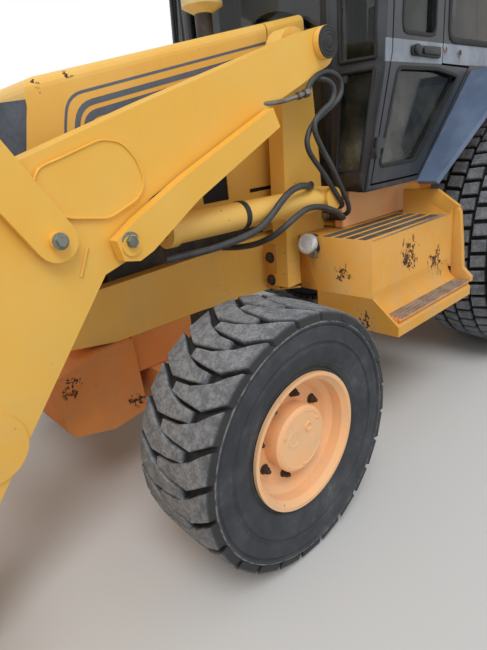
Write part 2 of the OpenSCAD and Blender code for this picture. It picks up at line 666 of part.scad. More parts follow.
// A rim as a body of revolution about Y; the profile is [radius, distance outboard of the tyre's middle]
module rim(seat_r, half, disc, hub_r, hub_out, bore) {
    flat_r = seat_r * 0.78;
    rotate([-90, 0, 0]) rotate_extrude() polygon([
        [bore, -40], [hub_r, -40], [hub_r, disc - 14], [flat_r, disc - 14], [seat_r - 22, disc - 44], [seat_r - 22, -half + 4],
        [seat_r + 16, -half - 6], [seat_r + 16, -half + 6], [seat_r - seat, -half + 10], [seat_r - seat, half - 10],
        [seat_r + 16, half - 6], [seat_r + 16, half + 6], [seat_r + 4, half + 6], [seat_r - 12, half - 12], [seat_r - 16, disc + 30],
        [seat_r - 34, disc + 14], [flat_r, disc], [hub_r, disc], [hub_r, hub_out - 8], [hub_r - 8, hub_out], [0, hub_out],
        [0, hub_out - 30], [bore, hub_out - 30]]);
}

module front_rim() translate([wheelbase, front_track / 2, front_hub[1]])
    rim(front_rim_d / 2, front_tyre_w / 2 - 18, 60, 109, 120, 44 + gap);
module front_wheel_left() color(orange) placed() front_rim();
module front_wheel_right() color(orange) placed() mirror([0, 1, 0]) front_rim();
module rear_rim() translate([0, rear_track / 2, rear_hub[1]])
    rim(rear_rim_d / 2, rear_tyre_w / 2 - 40, 90, 120, 130, 60);
module rear_wheel_left() color(orange) placed() rear_rim();
module rear_wheel_right() color(orange) placed() mirror([0, 1, 0]) rear_rim();

// Tyre about Y; each row of lugs is [turn, outline]: the share of a pitch that it is turned by, and the
// outline of the lug that stands at the top, [forward, to the left]
module tyre(r, w, bore, count, rows) {
    c = r - lug_h;
    h = w / 2;
    reach = max([for (row = rows) for (p = row[1]) abs(p[0])]);
    top = sqrt(r * r - reach * reach);
    rotate([-90, 0, 0]) rotate_extrude($fn = 26) polygon([
        [bore, -h * 0.72], [bore + (c - bore) * 0.18, -h * 0.93], [bore + (c - bore) * 0.5, -h], [c - 20, -h * 0.93], [c, -h * 0.72],
        [c, h * 0.72], [c - 20, h * 0.93], [bore + (c - bore) * 0.5, h], [bore + (c - bore) * 0.18, h * 0.93], [bore, h * 0.72]]);
    for (row = rows) for (i = [0:count - 1]) rotate([0, (i + row[0]) * 360 / count, 0])
        translate([0, 0, c - 24]) linear_extrude(top - c + 24) polygon(row[1]);
}
// Bent bar lugs, worn, whose tips reach between those of the other half
front_lug = [[-63, 150], [-9, 80], [21, 10], [26, -50], [47, -50], [63, 80], [15, 150]];
front_rows = [[0, front_lug], [0.5, [for (p = front_lug) [p[0], -p[1]]]]];
module front_tyre() translate([wheelbase, front_track / 2, front_hub[1]])
    tyre(front_tyre_d / 2, front_tyre_w, front_rim_d / 2, 24, front_rows);
module front_tyre_left() color(rubber) placed() front_tyre();
module front_tyre_right() color(rubber) placed() mirror([0, 1, 0]) front_tyre();
// Courses of blocks, each set off by half a block from the next
function block(y) = [[-64, y - 60], [64, y - 60], [64, y + 60], [-64, y + 60]];
rear_rows = [for (y = [-155, 0, 155]) [0, block(y)], for (y = [-78, 78]) [0.5, block(y)]];
module rear_tyre() translate([0, rear_track / 2, rear_hub[1]])
    tyre(rear_tyre_d / 2, rear_tyre_w, rear_rim_d / 2, 26, rear_rows);
module rear_tyre_left() color(rubber) placed() rear_tyre();
module rear_tyre_right() color(rubber) placed() mirror([0, 1, 0]) rear_tyre();

// Backhoe
module swing_tower() color(yellow) placed() {
    translate([-swing_x, 0, 352]) cylinder(h = 341, r = 70);
    for (z = [302, 690]) translate([-swing_x, 0, z]) cylinder(h = 60, r = 38);
    for (s = [-1, 1]) side(s > 0 ? boom_w / 2 + 10 : -boom_w / 2 - 40, s > 0 ? boom_w / 2 + 40 : -boom_w / 2 - 10)
        polygon(concat(arc(boom_foot, 90, 180, 290, 6), [[-swing_x - 20, 400], [-swing_x - 20, 690], [-swing_x - 85, 700], [-swing_x - 85, 765], [-swing_x, 775]],
            arc(boom_ram_base, 62, -40, 150, 6), [[-1400, 760]]));
    box3([-swing_x - 85, -boom_w / 2 - 40, 400], [-swing_x - 20, boom_w / 2 + 40, 690]);
    pin(boom_foot, 34, -boom_w / 2 - 50, boom_w / 2 + 50);
    pin(boom_ram_base, 30, -boom_w / 2 - 46, boom_w / 2 + 46);
}

module boom() color(yellow) placed() difference() {
    union() {
        mid(boom_w) polygon(concat(arc(boom_foot, 85, boom_a + 90, boom_a + 270, 8),
            [on_boom(250, 110), on_boom(700, 150), on_boom(1200, 180), on_boom(1500, 180), on_boom(1900, 140), on_boom(2170, 105)],
            arc(boom_head, 88, boom_a - 80, boom_a + 90, 8),
            [on_boom(1900, -95), on_boom(1300, -80), on_boom(600, -95)]));
        for (s = [-1, 1]) side(s > 0 ? 46 : -72, s > 0 ? 72 : -46) polygon(concat([on_boom(1195, 150)],
            arc(boom_ram_pin, 55, boom_a + 200, boom_a - 90, 6), arc(dipper_ram_base, 55, boom_a - 90, boom_a - 30, 4), [on_boom(1520, 150)]));
    }
    // Slot that the ram's barrel enters once the boom is down
    mid(118) polygon([on_boom(-160, 10), on_boom(0, 42), on_boom(500, 92), on_boom(580, 320), on_boom(-160, 320)]);
    pin(boom_foot, 34 + gap, -boom_w, boom_w);
    pin(boom_head, 32 + gap, -boom_w, boom_w);
}

module dipper() color(yellow) placed() {
    inner = boom_w / 2 + 10;
    difference() {
        union() {
            mid(dipper_w) polygon(concat(arc(hoe_pivot, 70, dipper_a + 100, dipper_a + 260, 6),
                [on_dipper(300, -84), on_dipper(900, -120), on_dipper(1370, -110), on_dipper(1370, 110), on_dipper(1200, 125), on_dipper(780, 66), on_dipper(520, 62)],
                arc(guide_pin, 42, dipper_a + 10, dipper_a + 150, 5)));
            mid(2 * inner + 50) polygon([on_dipper(1200, -118), on_dipper(1370, -110), on_dipper(1370, 110), on_dipper(1200, 125)]);
            for (s = [-1, 1]) side(s > 0 ? inner : -inner - 25, s > 0 ? inner + 25 : -inner)
                polygon(concat([on_dipper(1250, -110)], arc(boom_head, 100, dipper_a - 90, dipper_a - 20, 4),
                    arc(dipper_ram_pin, 60, dipper_a - 40, dipper_a + 120, 6), arc(boom_head, 110, dipper_a + 80, dipper_a + 110, 3), [on_dipper(1250, 118)]));
            for (s = [-1, 1]) side(s > 0 ? 40 : -62, s > 0 ? 62 : -40)
                polygon(concat([on_dipper(1360, 100)], arc(bucket_ram_base, 48, dipper_a, dipper_a + 180, 6), [on_dipper(1200, 100)]));
            for (s = [-1, 1]) pin(dipper_ram_pin, 28, s > 0 ? 44 : -inner - 25, s > 0 ? inner + 25 : -44);
        }
        pin(hoe_pivot, 28 + gap, -200, 200);
        pin(guide_pin, 24 + gap, -200, 200);
    }
    pin(boom_head, 32, -inner - 30, inner + 30);
    pin(bucket_ram_base, 22, -66, 66);
}

module hoe_bucket() color(yellow) placed() {
    w = hoe_w / 2;
    ear = dipper_w / 2 + 7;
    ta = bucket_a;
    difference() {
        mid(hoe_w) polygon([bk(950, 0), bk(560, 330), bk(300, 400), bk(60, 330), bk(-60, 150), bk(20, 90), bk(350, 60), bk(560, 20), bk(900, -16)]);
        mid(hoe_w - 32) polygon([bk(1000, 20), bk(556, 308), bk(304, 380), bk(72, 312), bk(-38, 150), bk(26, 110), bk(150, 98), bk(230, -60)]);
    }
    for (s = [-1, 1]) side(s > 0 ? ear : -ear - 15, s > 0 ? ear + 15 : -ear) polygon(concat(
        arc(hoe_pivot, 60, ta - 10, ta + 100, 4), arc(hoe_top_pin, 45, dipper_a + 100, dipper_a + 260, 5), [bk(-50, 160), bk(40, 95), bk(200, 75)]));
    pin(hoe_pivot, 28, -ear - 25, ear + 25);
    for (s = [-1, 1]) pin(hoe_top_pin, 30, s > 0 ? ear : -ear - 16, s > 0 ? ear + 16 : -ear);
    for (y = [-w + 45 : (hoe_w - 90) / 4 : w - 44]) side(y - 22, y + 22) polygon([bk(880, 8), bk(880, -30), bk(1040, -22)]);
}

module hoe_guide_bars() color(yellow) placed() {
    y = dipper_w / 2 + 7;
    for (s = [-1, 1]) {
        side(s > 0 ? y : -y - 15, s > 0 ? y + 15 : -y) bar2(guide_pin, guide_tip, 40);
        pin(guide_tip, 22, s > 0 ? 42 : -y - 40, s > 0 ? y + 40 : -42);
    }
    pin(guide_pin, 24, -y - 15, y + 15);
}

module hoe_bucket_link() color(yellow) placed() {
    y = dipper_w / 2 + 29;
    for (s = [-1, 1]) difference() {
        side(s > 0 ? y : -y - 15, s > 0 ? y + 15 : -y) bar2(guide_tip, hoe_top_pin, 38);
        pin(guide_tip, 22 + gap, -200, 200);
    }
}

module boom_ram_barrel() color(yellow) placed() difference() {
    ram_barrel(boom_ram_base, boom_ram_pin, 100, 865, 110, 0);
    pin(boom_ram_base, 30 + gap, -200, 200);
}
module boom_ram_rod() color(steel) placed() ram_rod(boom_ram_base, boom_ram_pin, 100, 92, 80, 0);
module dipper_ram_barrel() color(yellow) placed() {
    difference() {
        ram_barrel(dipper_ram_base, dipper_ram_pin, 100, 780, 84, 0);
        pin(dipper_ram_base, 28 + gap, -200, 200);
    }
}
module dipper_ram_rod() color(steel) placed() ram_rod(dipper_ram_base, dipper_ram_pin, 100, 690, 76, 0);
module bucket_ram_barrel() color(yellow) placed() difference() {
    ram_barrel(bucket_ram_base, guide_tip, 84, 610, 70, 0);
    pin(bucket_ram_base, 22 + gap, -200, 200);
}
module bucket_ram_rod() color(steel) placed() ram_rod(bucket_ram_base, guide_tip, 84, 540, 72, 0);

// Stabilizers swing across the machine, about X
leg_angle = 78;
leg_l = 880;
leg_ram_r = 205;
leg_base = [450, 1180];
leg_p = [leg_pivot_y, leg_pivot_z];
leg_pin = leg_p + ray(leg_ram_r, leg_angle);
module leg() {
    difference() {
        union() {
            for (x = [leg_x - 46, leg_x + 30]) front(x, x + 16) bar2(leg_p, leg_p + ray(leg_l, leg_angle), 52);
            front(leg_x - 46, leg_x + 46) translate(leg_p) rotate(leg_angle) translate([450, -52]) square([leg_l - 450, 104]);
            // Pad, level once the leg is down
            front(leg_x - 110, leg_x + 110) translate(leg_p + ray(leg_l, leg_angle)) rotate(leg_angle + 30)
                polygon([[-30, -40], [-130, -72], [-130, -90], [130, -90], [130, -72], [30, -40], [30, 0], [-30, 0]]);
        }
        translate([leg_x - 100, leg_p[0], leg_p[1]]) rotate([0, 90, 0]) cylinder(h = 200, r = 26 + gap);
    }
}
module leg_barrel() {
    a = angle_of(leg_pin - leg_base);
    difference() {
        union() {
            translate([leg_x - 12, leg_base[0], leg_base[1]]) rotate([0, 90, 0]) cylinder(h = 24, r = 36);
            translate([leg_x, leg_base[0], leg_base[1]]) rotate([a - 90, 0, 0]) translate([0, 0, 20]) cylinder(h = 400, r = 26);
        }
        translate([leg_x - 20, leg_base[0], leg_base[1]]) rotate([0, 90, 0]) cylinder(h = 40, r = 20 + gap);
        translate([leg_x, leg_base[0], leg_base[1]]) rotate([a - 90, 0, 0]) translate([0, 0, 46]) cylinder(h = 400, r = 15 + gap);
    }
}
module leg_rod() {
    a = angle_of(leg_pin - leg_base);
    translate([leg_x - 20, leg_pin[0], leg_pin[1]]) rotate([0, 90, 0]) cylinder(h = 40, r = 30);
    translate([leg_x, leg_base[0], leg_base[1]]) rotate([a - 90, 0, 0]) translate([0, 0, 56])
        cylinder(h = norm(leg_pin - leg_base) - 66, r = 15);
}
module stabilizer_left() color(yellow) placed() leg();
module stabilizer_right() color(yellow) placed() mirror([0, 1, 0]) leg();
module leg_barrel_left() color(yellow) placed() leg_barrel();
module leg_barrel_right() color(yellow) placed() mirror([0, 1, 0]) leg_barrel();
module leg_rod_left() color(steel) placed() leg_rod();
module leg_rod_right() color(steel) placed() mirror([0, 1, 0]) leg_rod();

main_frame();
engine_block();
front_axle();
rear_axle();
nose_weight();
front_grille();
cowl();
hood();
step_boxes();
cab_floor();
cab_posts();
cab_roof();
cab_glass();
rear_fenders();
cab_interior();
seat_cushion();
exhaust();
hood_lamps();
lamps();
door_left();
door_right();
door_glass_left();
door_glass_right();
loader_arms();
loader_bucket();
lift_barrels();
lift_rods();
tilt_levers();
bucket_links();
tilt_barrels();
tilt_rods();
knuckle_left();
knuckle_right();
front_wheel_left();
front_wheel_right();
front_tyre_left();
front_tyre_right();
rear_wheel_left();
rear_wheel_right();
rear_tyre_left();
rear_tyre_right();
swing_tower();
boom();
dipper();
hoe_bucket();
boom_ram_barrel();
boom_ram_rod();
dipper_ram_barrel();
dipper_ram_rod();
bucket_ram_barrel();
bucket_ram_rod();
hoe_guide_bars();
hoe_bucket_link();
stabilizer_left();
stabilizer_right();
leg_barrel_left();
leg_barrel_right();
leg_rod_left();
leg_rod_right();
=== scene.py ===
"""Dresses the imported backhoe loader: worn paint, dusty tyres, glass, hoses, bolts, stripes and the studio."""

import logging
import math
from collections.abc import Sequence
from dataclasses import dataclass
from enum import Enum
from functools import partial
from typing import Any

import bmesh
import bpy
from mathutils import Matrix, Vector

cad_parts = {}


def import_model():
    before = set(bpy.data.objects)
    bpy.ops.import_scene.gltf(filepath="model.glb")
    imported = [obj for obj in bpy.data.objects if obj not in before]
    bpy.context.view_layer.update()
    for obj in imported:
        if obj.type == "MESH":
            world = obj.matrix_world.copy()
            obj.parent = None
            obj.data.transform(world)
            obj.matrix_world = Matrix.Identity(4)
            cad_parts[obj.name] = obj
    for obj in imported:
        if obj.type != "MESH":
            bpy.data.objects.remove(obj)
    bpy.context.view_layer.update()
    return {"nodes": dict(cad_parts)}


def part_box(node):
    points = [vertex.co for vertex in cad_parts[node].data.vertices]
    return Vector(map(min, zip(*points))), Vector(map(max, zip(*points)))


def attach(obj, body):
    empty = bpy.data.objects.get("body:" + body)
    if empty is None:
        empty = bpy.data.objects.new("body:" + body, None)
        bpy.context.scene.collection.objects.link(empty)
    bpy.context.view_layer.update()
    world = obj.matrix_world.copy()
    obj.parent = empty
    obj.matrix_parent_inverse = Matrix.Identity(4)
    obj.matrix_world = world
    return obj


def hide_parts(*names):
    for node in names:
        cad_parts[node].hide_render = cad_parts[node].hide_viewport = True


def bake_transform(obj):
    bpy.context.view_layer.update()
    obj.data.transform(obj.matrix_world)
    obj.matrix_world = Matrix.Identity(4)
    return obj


LOG = logging.getLogger("backhoe_loader")

# Millimetres from the rear axle to the middle of the machine's box
AXLE_TO_ORIGIN = 650.4
MM = 0.001
# Surfaces are welded where points lie closer than this, in metres
WELD = 1e-6
# Seed of all scattered turns
SEED = 7
# Edges sharper than this are rounded by a bevel, in degrees
BEVEL_OVER = 40

Flat = tuple[float, float]
Point = tuple[float, float, float]
Spot = tuple[float, float, float, float]
Colour = tuple[float, float, float]


def pt(x: float, y: float, z: float) -> Vector:
    """Turns millimetres counted from the rear axle into metres of the machine's frame."""
    return Vector(((x - AXLE_TO_ORIGIN) * MM, y * MM, z * MM))


def route(points: Sequence[Sequence[float]], y: float = 0.0) -> list[Vector]:
    """Places points (x, y, z), or (x, z) at one y, counted from the rear axle."""
    return [pt(*point) if len(point) == 3 else pt(point[0], y, point[1]) for point in points]


def srgb(red: int, green: int, blue: int) -> Colour:
    """Turns a display colour from 0 to 255 into the linear colour that a shader takes."""
    levels = (red / 255, green / 255, blue / 255)
    return tuple(c / 12.92 if c <= 0.04045 else ((c + 0.055) / 1.055) ** 2.4 for c in levels)


class Axis(Enum):
    """The direction that an outline is drawn out along."""

    X = 0
    Y = 1
    Z = 2

    def lift(self, a: float, b: float, depth: float) -> Vector:
        """Places a flat point at a depth along this axis, in millimetres from the rear axle.

        Args:
            a: First flat coordinate: x for Y and Z, y for X.
            b: Second flat coordinate: z for X and Y, y for Z.
            depth: Place along the axis.

        Returns:
            The point in metres.
        """
        place = [a, b]
        place.insert(self.value, depth)
        return pt(*place)


class Side(Enum):
    """Left and right of a driver who faces forward."""

    LEFT = 1
    RIGHT = -1

    @property
    def word(self) -> str:
        """The name that the side's nodes and bodies carry."""
        return self.name.lower()


def configured(made: Any, **options: Any) -> Any:
    """Sets the options of something new."""
    for key, value in options.items():
        setattr(made, key, value)
    return made


def added(name: str, data: Any) -> bpy.types.Object:
    """Makes an object of a mesh, a lamp or a camera and adds it to the scene."""
    made = bpy.data.objects.new(name, data)
    bpy.context.scene.collection.objects.link(made)
    return made


def linked(tree: bpy.types.NodeTree, kind: str, links: dict[Any, bpy.types.NodeSocket] | None = None,
           **options: Any) -> bpy.types.Node:
    """Adds a node of a kind to a tree, sets its options and links its inputs."""
    made = configured(tree.nodes.new(kind), **options)
    for key, source in (links or {}).items():
        tree.links.new(source, made.inputs[key])
    return made


class Term:
    """A shader socket that Python sums work on."""

    def __init__(self, shader: "Shader", socket: bpy.types.NodeSocket) -> None:
        """Keeps the socket and the shader that its sums are added to."""
        self.shader = shader
        self.socket = socket

    def _join(self, operation: str, *values: Any) -> "Term":
        """Adds a Math node over the values."""
        return self.shader.term("ShaderNodeMath", 0, dict(enumerate(values)), operation=operation)

    def __add__(self, other: Any) -> "Term":
        """Sum."""
        return self._join("ADD", self, other)

    __radd__ = __add__

    def __sub__(self, other: Any) -> "Term":
        """Difference."""
        return self._join("SUBTRACT", self, other)

    def __rsub__(self, other: Any) -> "Term":
        """Difference, the other way round."""
        return self._join("SUBTRACT", other, self)

    def __mul__(self, other: Any) -> "Term":
        """Product."""
        return self._join("MULTIPLY", self, other)

    __rmul__ = __mul__

    def root(self) -> "Term":
        """Square root."""
        return self._join("SQRT", self)

    def sine(self) -> "Term":
        """Sine."""
        return self._join("SINE", self)

    def rise(self, low: float, high: float) -> "Term":
        """Goes smoothly from 0 at low to 1 at high, or back where low is the larger."""
        values = {"Value": self, "From Min": min(low, high), "From Max": max(low, high)}
        if low > high:
            values |= {"To Min": 1.0, "To Max": 0.0}
        return self.shader.term("ShaderNodeMapRange", "Result", values, interpolation_type="SMOOTHSTEP")


class Shader:
    """Builds one material from nodes."""

    def __init__(self, name: str) -> None:
        """Starts an empty material of that name with its output and its main shader."""
        self.material = bpy.data.materials.new(name)
        self.material.use_nodes = True
        self.tree = self.material.node_tree
        self.tree.nodes.clear()
        output = self.tree.nodes.new("ShaderNodeOutputMaterial")
        self.main = self.tree.nodes.new("ShaderNodeBsdfPrincipled")
        self.tree.links.new(self.main.outputs[0], output.inputs["Surface"])
        coordinates = self.tree.nodes.new("ShaderNodeTexCoord")
        self.place = Term(self, coordinates.outputs["Object"])

    def plug(self, socket: bpy.types.NodeSocket, value: Any) -> None:
        """Links or sets one input socket."""
        if isinstance(value, Term):
            self.tree.links.new(value.socket, socket)
        elif isinstance(value, (tuple, list)) and len(value) == 3 and len(socket.default_value) == 4:
            socket.default_value = (*value, 1.0)
        else:
            socket.default_value = value

    def term(self, kind: str, output: int | str, values: dict[Any, Any], **options: Any) -> Term:
        """Adds a node, sets its options, then its sockets.

        Args:
            kind: Blender's name of the node type.
            output: The output that is wanted.
            values: Numbers, colours or terms by socket name or index.
            options: Options of the node, set first.

        Returns:
            The wanted output.
        """
        made = configured(self.tree.nodes.new(kind), **options)
        for key, value in values.items():
            self.plug(made.inputs[key], value)
        return Term(self, made.outputs[output])

    def noise(self, scale: float, detail: float = 3.0, rough: float = 0.55, at: Any = None) -> Term:
        """Cloudy noise from 0 to 1 with features about 1 / scale metres wide."""
        values = {"Vector": at or self.place, "Scale": scale, "Detail": detail, "Roughness": rough}
        return self.term("ShaderNodeTexNoise", "Fac", values)

    def streaks(self, scale: Point, detail: float = 3.0, rough: float = 0.6) -> Term:
        """Noise with each coordinate scaled, for runs of dirt and scratches."""
        at = self.term("ShaderNodeMapping", 0, {"Vector": self.place, "Scale": scale})
        return self.noise(1.0, detail, rough, at)

    def cells(self, scale: float) -> Term:
        """Distance to the nearest of scattered points."""
        return self.term("ShaderNodeTexVoronoi", "Distance", {"Vector": self.place, "Scale": scale})

    def coordinate(self, axis: Axis) -> Term:
        """One coordinate of the place, in metres."""
        return self.term("ShaderNodeSeparateXYZ", axis.value, {0: self.place})

    def distance(self, spot: Vector) -> Term:
        """Distance from a fixed point, in metres."""
        values = {0: self.place, 1: tuple(spot)}
        return self.term("ShaderNodeVectorMath", "Value", values, operation="DISTANCE")

    def blend(self, mask: Any, below: Any, above: Any) -> Term:
        """Mixes two colours: 0 in the mask gives the first, 1 the second."""
        return self.term("ShaderNodeMix", 2, {0: mask, 6: below, 7: above}, data_type="RGBA")

    def relief(self, height: Term, depth: float, strength: float = 1.0) -> Term:
        """Turns a height from 0 to 1 into a bumped normal, depth in metres."""
        return self.term("ShaderNodeBump", 0, {"Height": height, "Distance": depth, "Strength": strength})

    def close(self, **values: Any) -> bpy.types.Material:
        """Feeds the main shader; underscores in a name stand for spaces."""
        for key, value in values.items():
            self.plug(self.main.inputs[key.replace("_", " ")], value)
        return self.material


@dataclass(frozen=True)
class WornPaint:
    """Old machine paint: faded, dusty, chipped to rust, with scratches and runs of dirt, and an optional paler
    band that is a painted reflection of the sky.
    """

    name: str
    base: Colour
    faded: Colour
    dust: Colour = srgb(176, 160, 132)
    rust: Colour = srgb(92, 56, 38)
    rough: float = 0.42
    chips: float = 0.5
    dirt: float = 0.5
    spots: tuple[Spot, ...] = ()
    # Heights in millimetres of a paler band on the outer faces, which is a painted reflection of the sky
    band: tuple[float, float] | None = None

    def material(self) -> bpy.types.Material:
        """Builds the paint's material."""
        s = Shader(self.name)
        broad = s.noise(1.1, 4.0, 0.6)
        cloud = s.noise(7.0, 5.0, 0.62)
        fine = s.noise(85.0, 3.0, 0.6)
        height = s.coordinate(Axis.Z)
        colour = s.blend((broad * 0.65 + cloud * 0.35).rise(0.36, 0.66), self.base, self.faded)
        if self.band:
            # Below the windows the outer faces only carry a paler band: a painted reflection of the sky
            low_z, high_z = (level * MM for level in self.band)
            y = s.coordinate(Axis.Y)
            outer = (y * y).rise(0.482, 0.486)
            sky_reflection_mask = height.rise(low_z - 0.003, low_z) * height.rise(high_z + 0.003, high_z) * outer
            sky_reflection_colour = s.blend(cloud.rise(0.4, 0.65), srgb(124, 132, 144), srgb(150, 158, 170))
            colour = s.blend(sky_reflection_mask, colour, sky_reflection_colour)
        # Dust and mud lie thicker near the ground
        low = height.rise(1.15, 0.25)
        streak = s.streaks((16.0, 16.0, 1.6), 4.0)
        dusty = (low * 0.55 + 0.10) * cloud.rise(0.38, 0.72) + streak.rise(0.56, 0.80) * 0.30
        colour = s.blend(dusty * self.dirt, colour, self.dust)
        grime = s.streaks((26.0, 26.0, 2.4)).rise(0.60, 0.80) * (low * 0.6 + 0.25)
        colour = s.blend(grime * self.dirt * 0.55, colour, tuple(c * 0.33 for c in self.base))
        # Chips, thicker in the named spots
        speck = s.cells(38.0) + fine * 0.35
        chip = speck.rise(0.30, 0.24) * cloud.rise(0.50, 0.62) * self.chips
        for x, y, z, radius in self.spots:
            near = s.distance(pt(x, y, z)).rise(radius * MM, radius * MM * 0.2)
            flake = (s.noise(34.0, 5.0, 0.7) * 0.7 + fine * 0.3 + near * 0.16).rise(0.655, 0.675)
            scrape = s.streaks((30.0, 30.0, 9.0)).rise(0.60, 0.64)
            chip = chip + (flake + scrape * 0.5) * near.rise(0.02, 0.5)
        scratch = s.streaks((9.0, 60.0, 75.0), 2.0, 0.5).rise(0.70, 0.735) * self.chips * 0.6
        chip = (chip + scratch * cloud).rise(0.15, 0.6)
        colour = s.blend(chip, colour, s.blend(fine.rise(0.4, 0.6), self.rust, srgb(52, 38, 34)))
        rough = fine * 0.10 + cloud * 0.12 + self.rough + chip * 0.25 + dusty * 0.25
        bump = s.relief(fine * 0.25 + cloud * 0.4 + (1.0 - chip) * 0.9, 0.0006, 0.6)
        return s.close(Base_Color=colour, Roughness=rough, Normal=bump)


@dataclass(frozen=True)
class Tyre:
    """Grey, chalky rubber with dust in its grooves and on its lugs, and painted shade at the floor of its
    grooves.
    """

    name: str
    hub: Point
    tread_r: float
    floor_r: float
    bead_r: float
    line_r: float = 0.0

    def material(self) -> bpy.types.Material:
        """Builds the tyre's material."""
        s = Shader(self.name)
        centre = pt(*self.hub)
        x = s.coordinate(Axis.X) - centre.x
        z = s.coordinate(Axis.Z) - centre.z
        radius = (x * x + z * z).root()
        cloud = s.noise(9.0, 5.0, 0.62)
        fine = s.noise(120.0, 3.0, 0.6)
        grain = s.noise(34.0, 4.0, 0.7)
        side = s.blend(cloud.rise(0.35, 0.7), srgb(46, 49, 54), srgb(66, 69, 74))
        top = s.blend((grain * 0.6 + fine * 0.4).rise(0.40, 0.62), srgb(98, 102, 108), srgb(138, 141, 146))
        tread = radius.rise((self.floor_r + 8.0) * MM, (self.tread_r - 6.0) * MM)
        colour = s.blend(tread, side, top)
        # Painted shade: the tread's floor between the lugs is darker
        groove_shade = radius.rise((self.floor_r - 16.0) * MM, (self.floor_r - 3.0) * MM) * (1.0 - tread)
        colour = s.blend(groove_shade * 0.8, colour, srgb(42, 41, 40))
        if self.line_r:
            inner, outer = (((self.line_r + way * 3.5) * MM, (self.line_r + way) * MM) for way in (-1, 1))
            line = radius.rise(*inner) * radius.rise(*outer)
            colour = s.blend(line * grain.rise(0.35, 0.6) * 0.6, colour, srgb(150, 150, 150))
        dust = (grain * 0.5 + cloud * 0.5).rise(0.54, 0.78) * 0.30
        colour = s.blend(dust, colour, srgb(150, 144, 132))
        # Moulded rings beside the rim, 13 mm apart
        ring = (radius * (2.0 * math.pi / 0.013)).sine()
        near_bead = radius.rise((self.bead_r + 62.0) * MM, (self.bead_r + 44.0) * MM)
        bump = s.relief(fine * 0.5 + grain * 0.7 + ring * near_bead * 0.25, 0.0022, 0.7)
        return s.close(Base_Color=colour, Roughness=grain * 0.2 + 0.68, Normal=bump)


@dataclass(frozen=True)
class Plain:
    """A simpler finish: one colour with a cloudy shade and a fine grain."""

    name: str
    base: Colour
    shade: Colour
    rough: float = 0.5
    metal: float = 0.0
    grain: float = 90.0
    depth: float = 0.0004
    coat: float = 0.0

    def material(self) -> bpy.types.Material:
        """Builds the finish's material."""
        s = Shader(self.name)
        cloud = s.noise(14.0, 4.0, 0.6)
        fine = s.noise(self.grain, 3.0, 0.6)
        colour = s.blend((cloud * 0.6 + fine * 0.4).rise(0.36, 0.66), self.base, self.shade)
        rough = fine * 0.16 + cloud * 0.10 + (self.rough - 0.13)
        bump = s.relief(fine * 0.7 + cloud * 0.3, self.depth, 0.6)
        s.main.inputs["Coat Weight"].default_value = self.coat
        return s.close(Base_Color=colour, Roughness=rough, Normal=bump, Metallic=self.metal)


@dataclass(frozen=True)
class CabGlass:
    """Tinted panes with a film of dust that thickens towards their lower edges."""

    name: str
    tint: Colour
    clear: float = 0.58

    def material(self) -> bpy.types.Material:
        """Builds the glass."""
        s = Shader(self.name)
        cloud = s.noise(4.0, 5.0, 0.6)
        low = s.coordinate(Axis.Z).rise(1.62, 1.15)
        film = cloud.rise(0.42, 0.80) * 0.12 + low * cloud.rise(0.30, 0.70) * 0.34
        colour = s.blend(film, self.tint, srgb(150, 150, 138))
        s.material.surface_render_method = "BLENDED"
        s.main.inputs["IOR"].default_value = 1.5
        return s.close(Base_Color=colour, Roughness=film * 0.6 + 0.04, Alpha=film + self.clear)


@dataclass(frozen=True)
class Stack:
    """The exhaust: a black pipe that carries a sun-bleached canister."""

    name: str
    low: float = 1862.0
    high: float = 2338.0

    def material(self) -> bpy.types.Material:
        """Builds the exhaust's material."""
        s = Shader(self.name)
        height = s.coordinate(Axis.Z)
        cloud = s.noise(9.0, 5.0, 0.62)
        fine = s.noise(90.0, 3.0, 0.6)
        low, high = self.low * MM, self.high * MM
        can = height.rise(low - 0.003, low) * height.rise(high + 0.003, high)
        pipe = s.blend(cloud.rise(0.40, 0.66), srgb(34, 33, 33), srgb(66, 56, 48))
        tan = s.blend(cloud.rise(0.36, 0.62), srgb(206, 184, 128), srgb(222, 204, 154))
        rust = (fine * 0.4 + cloud * 0.6).rise(0.60, 0.68) * 0.7
        colour = s.blend(rust, s.blend(can, pipe, tan), srgb(120, 76, 48))
        bump = s.relief(fine * 0.5 + cloud * 0.5, 0.0008, 0.6)
        return s.close(Base_Color=colour, Roughness=fine * 0.15 + 0.48, Normal=bump)


@dataclass(frozen=True)
class Ground:
    """The plain pale floor, soft grey, which keeps the object's shadow."""

    name: str = "floor_paper"
    shade: Colour = (0.62, 0.62, 0.61)

    def material(self) -> bpy.types.Material:
        """Builds the floor's material."""
        s = Shader(self.name)
        return s.close(Base_Color=self.shade, Roughness=0.9)


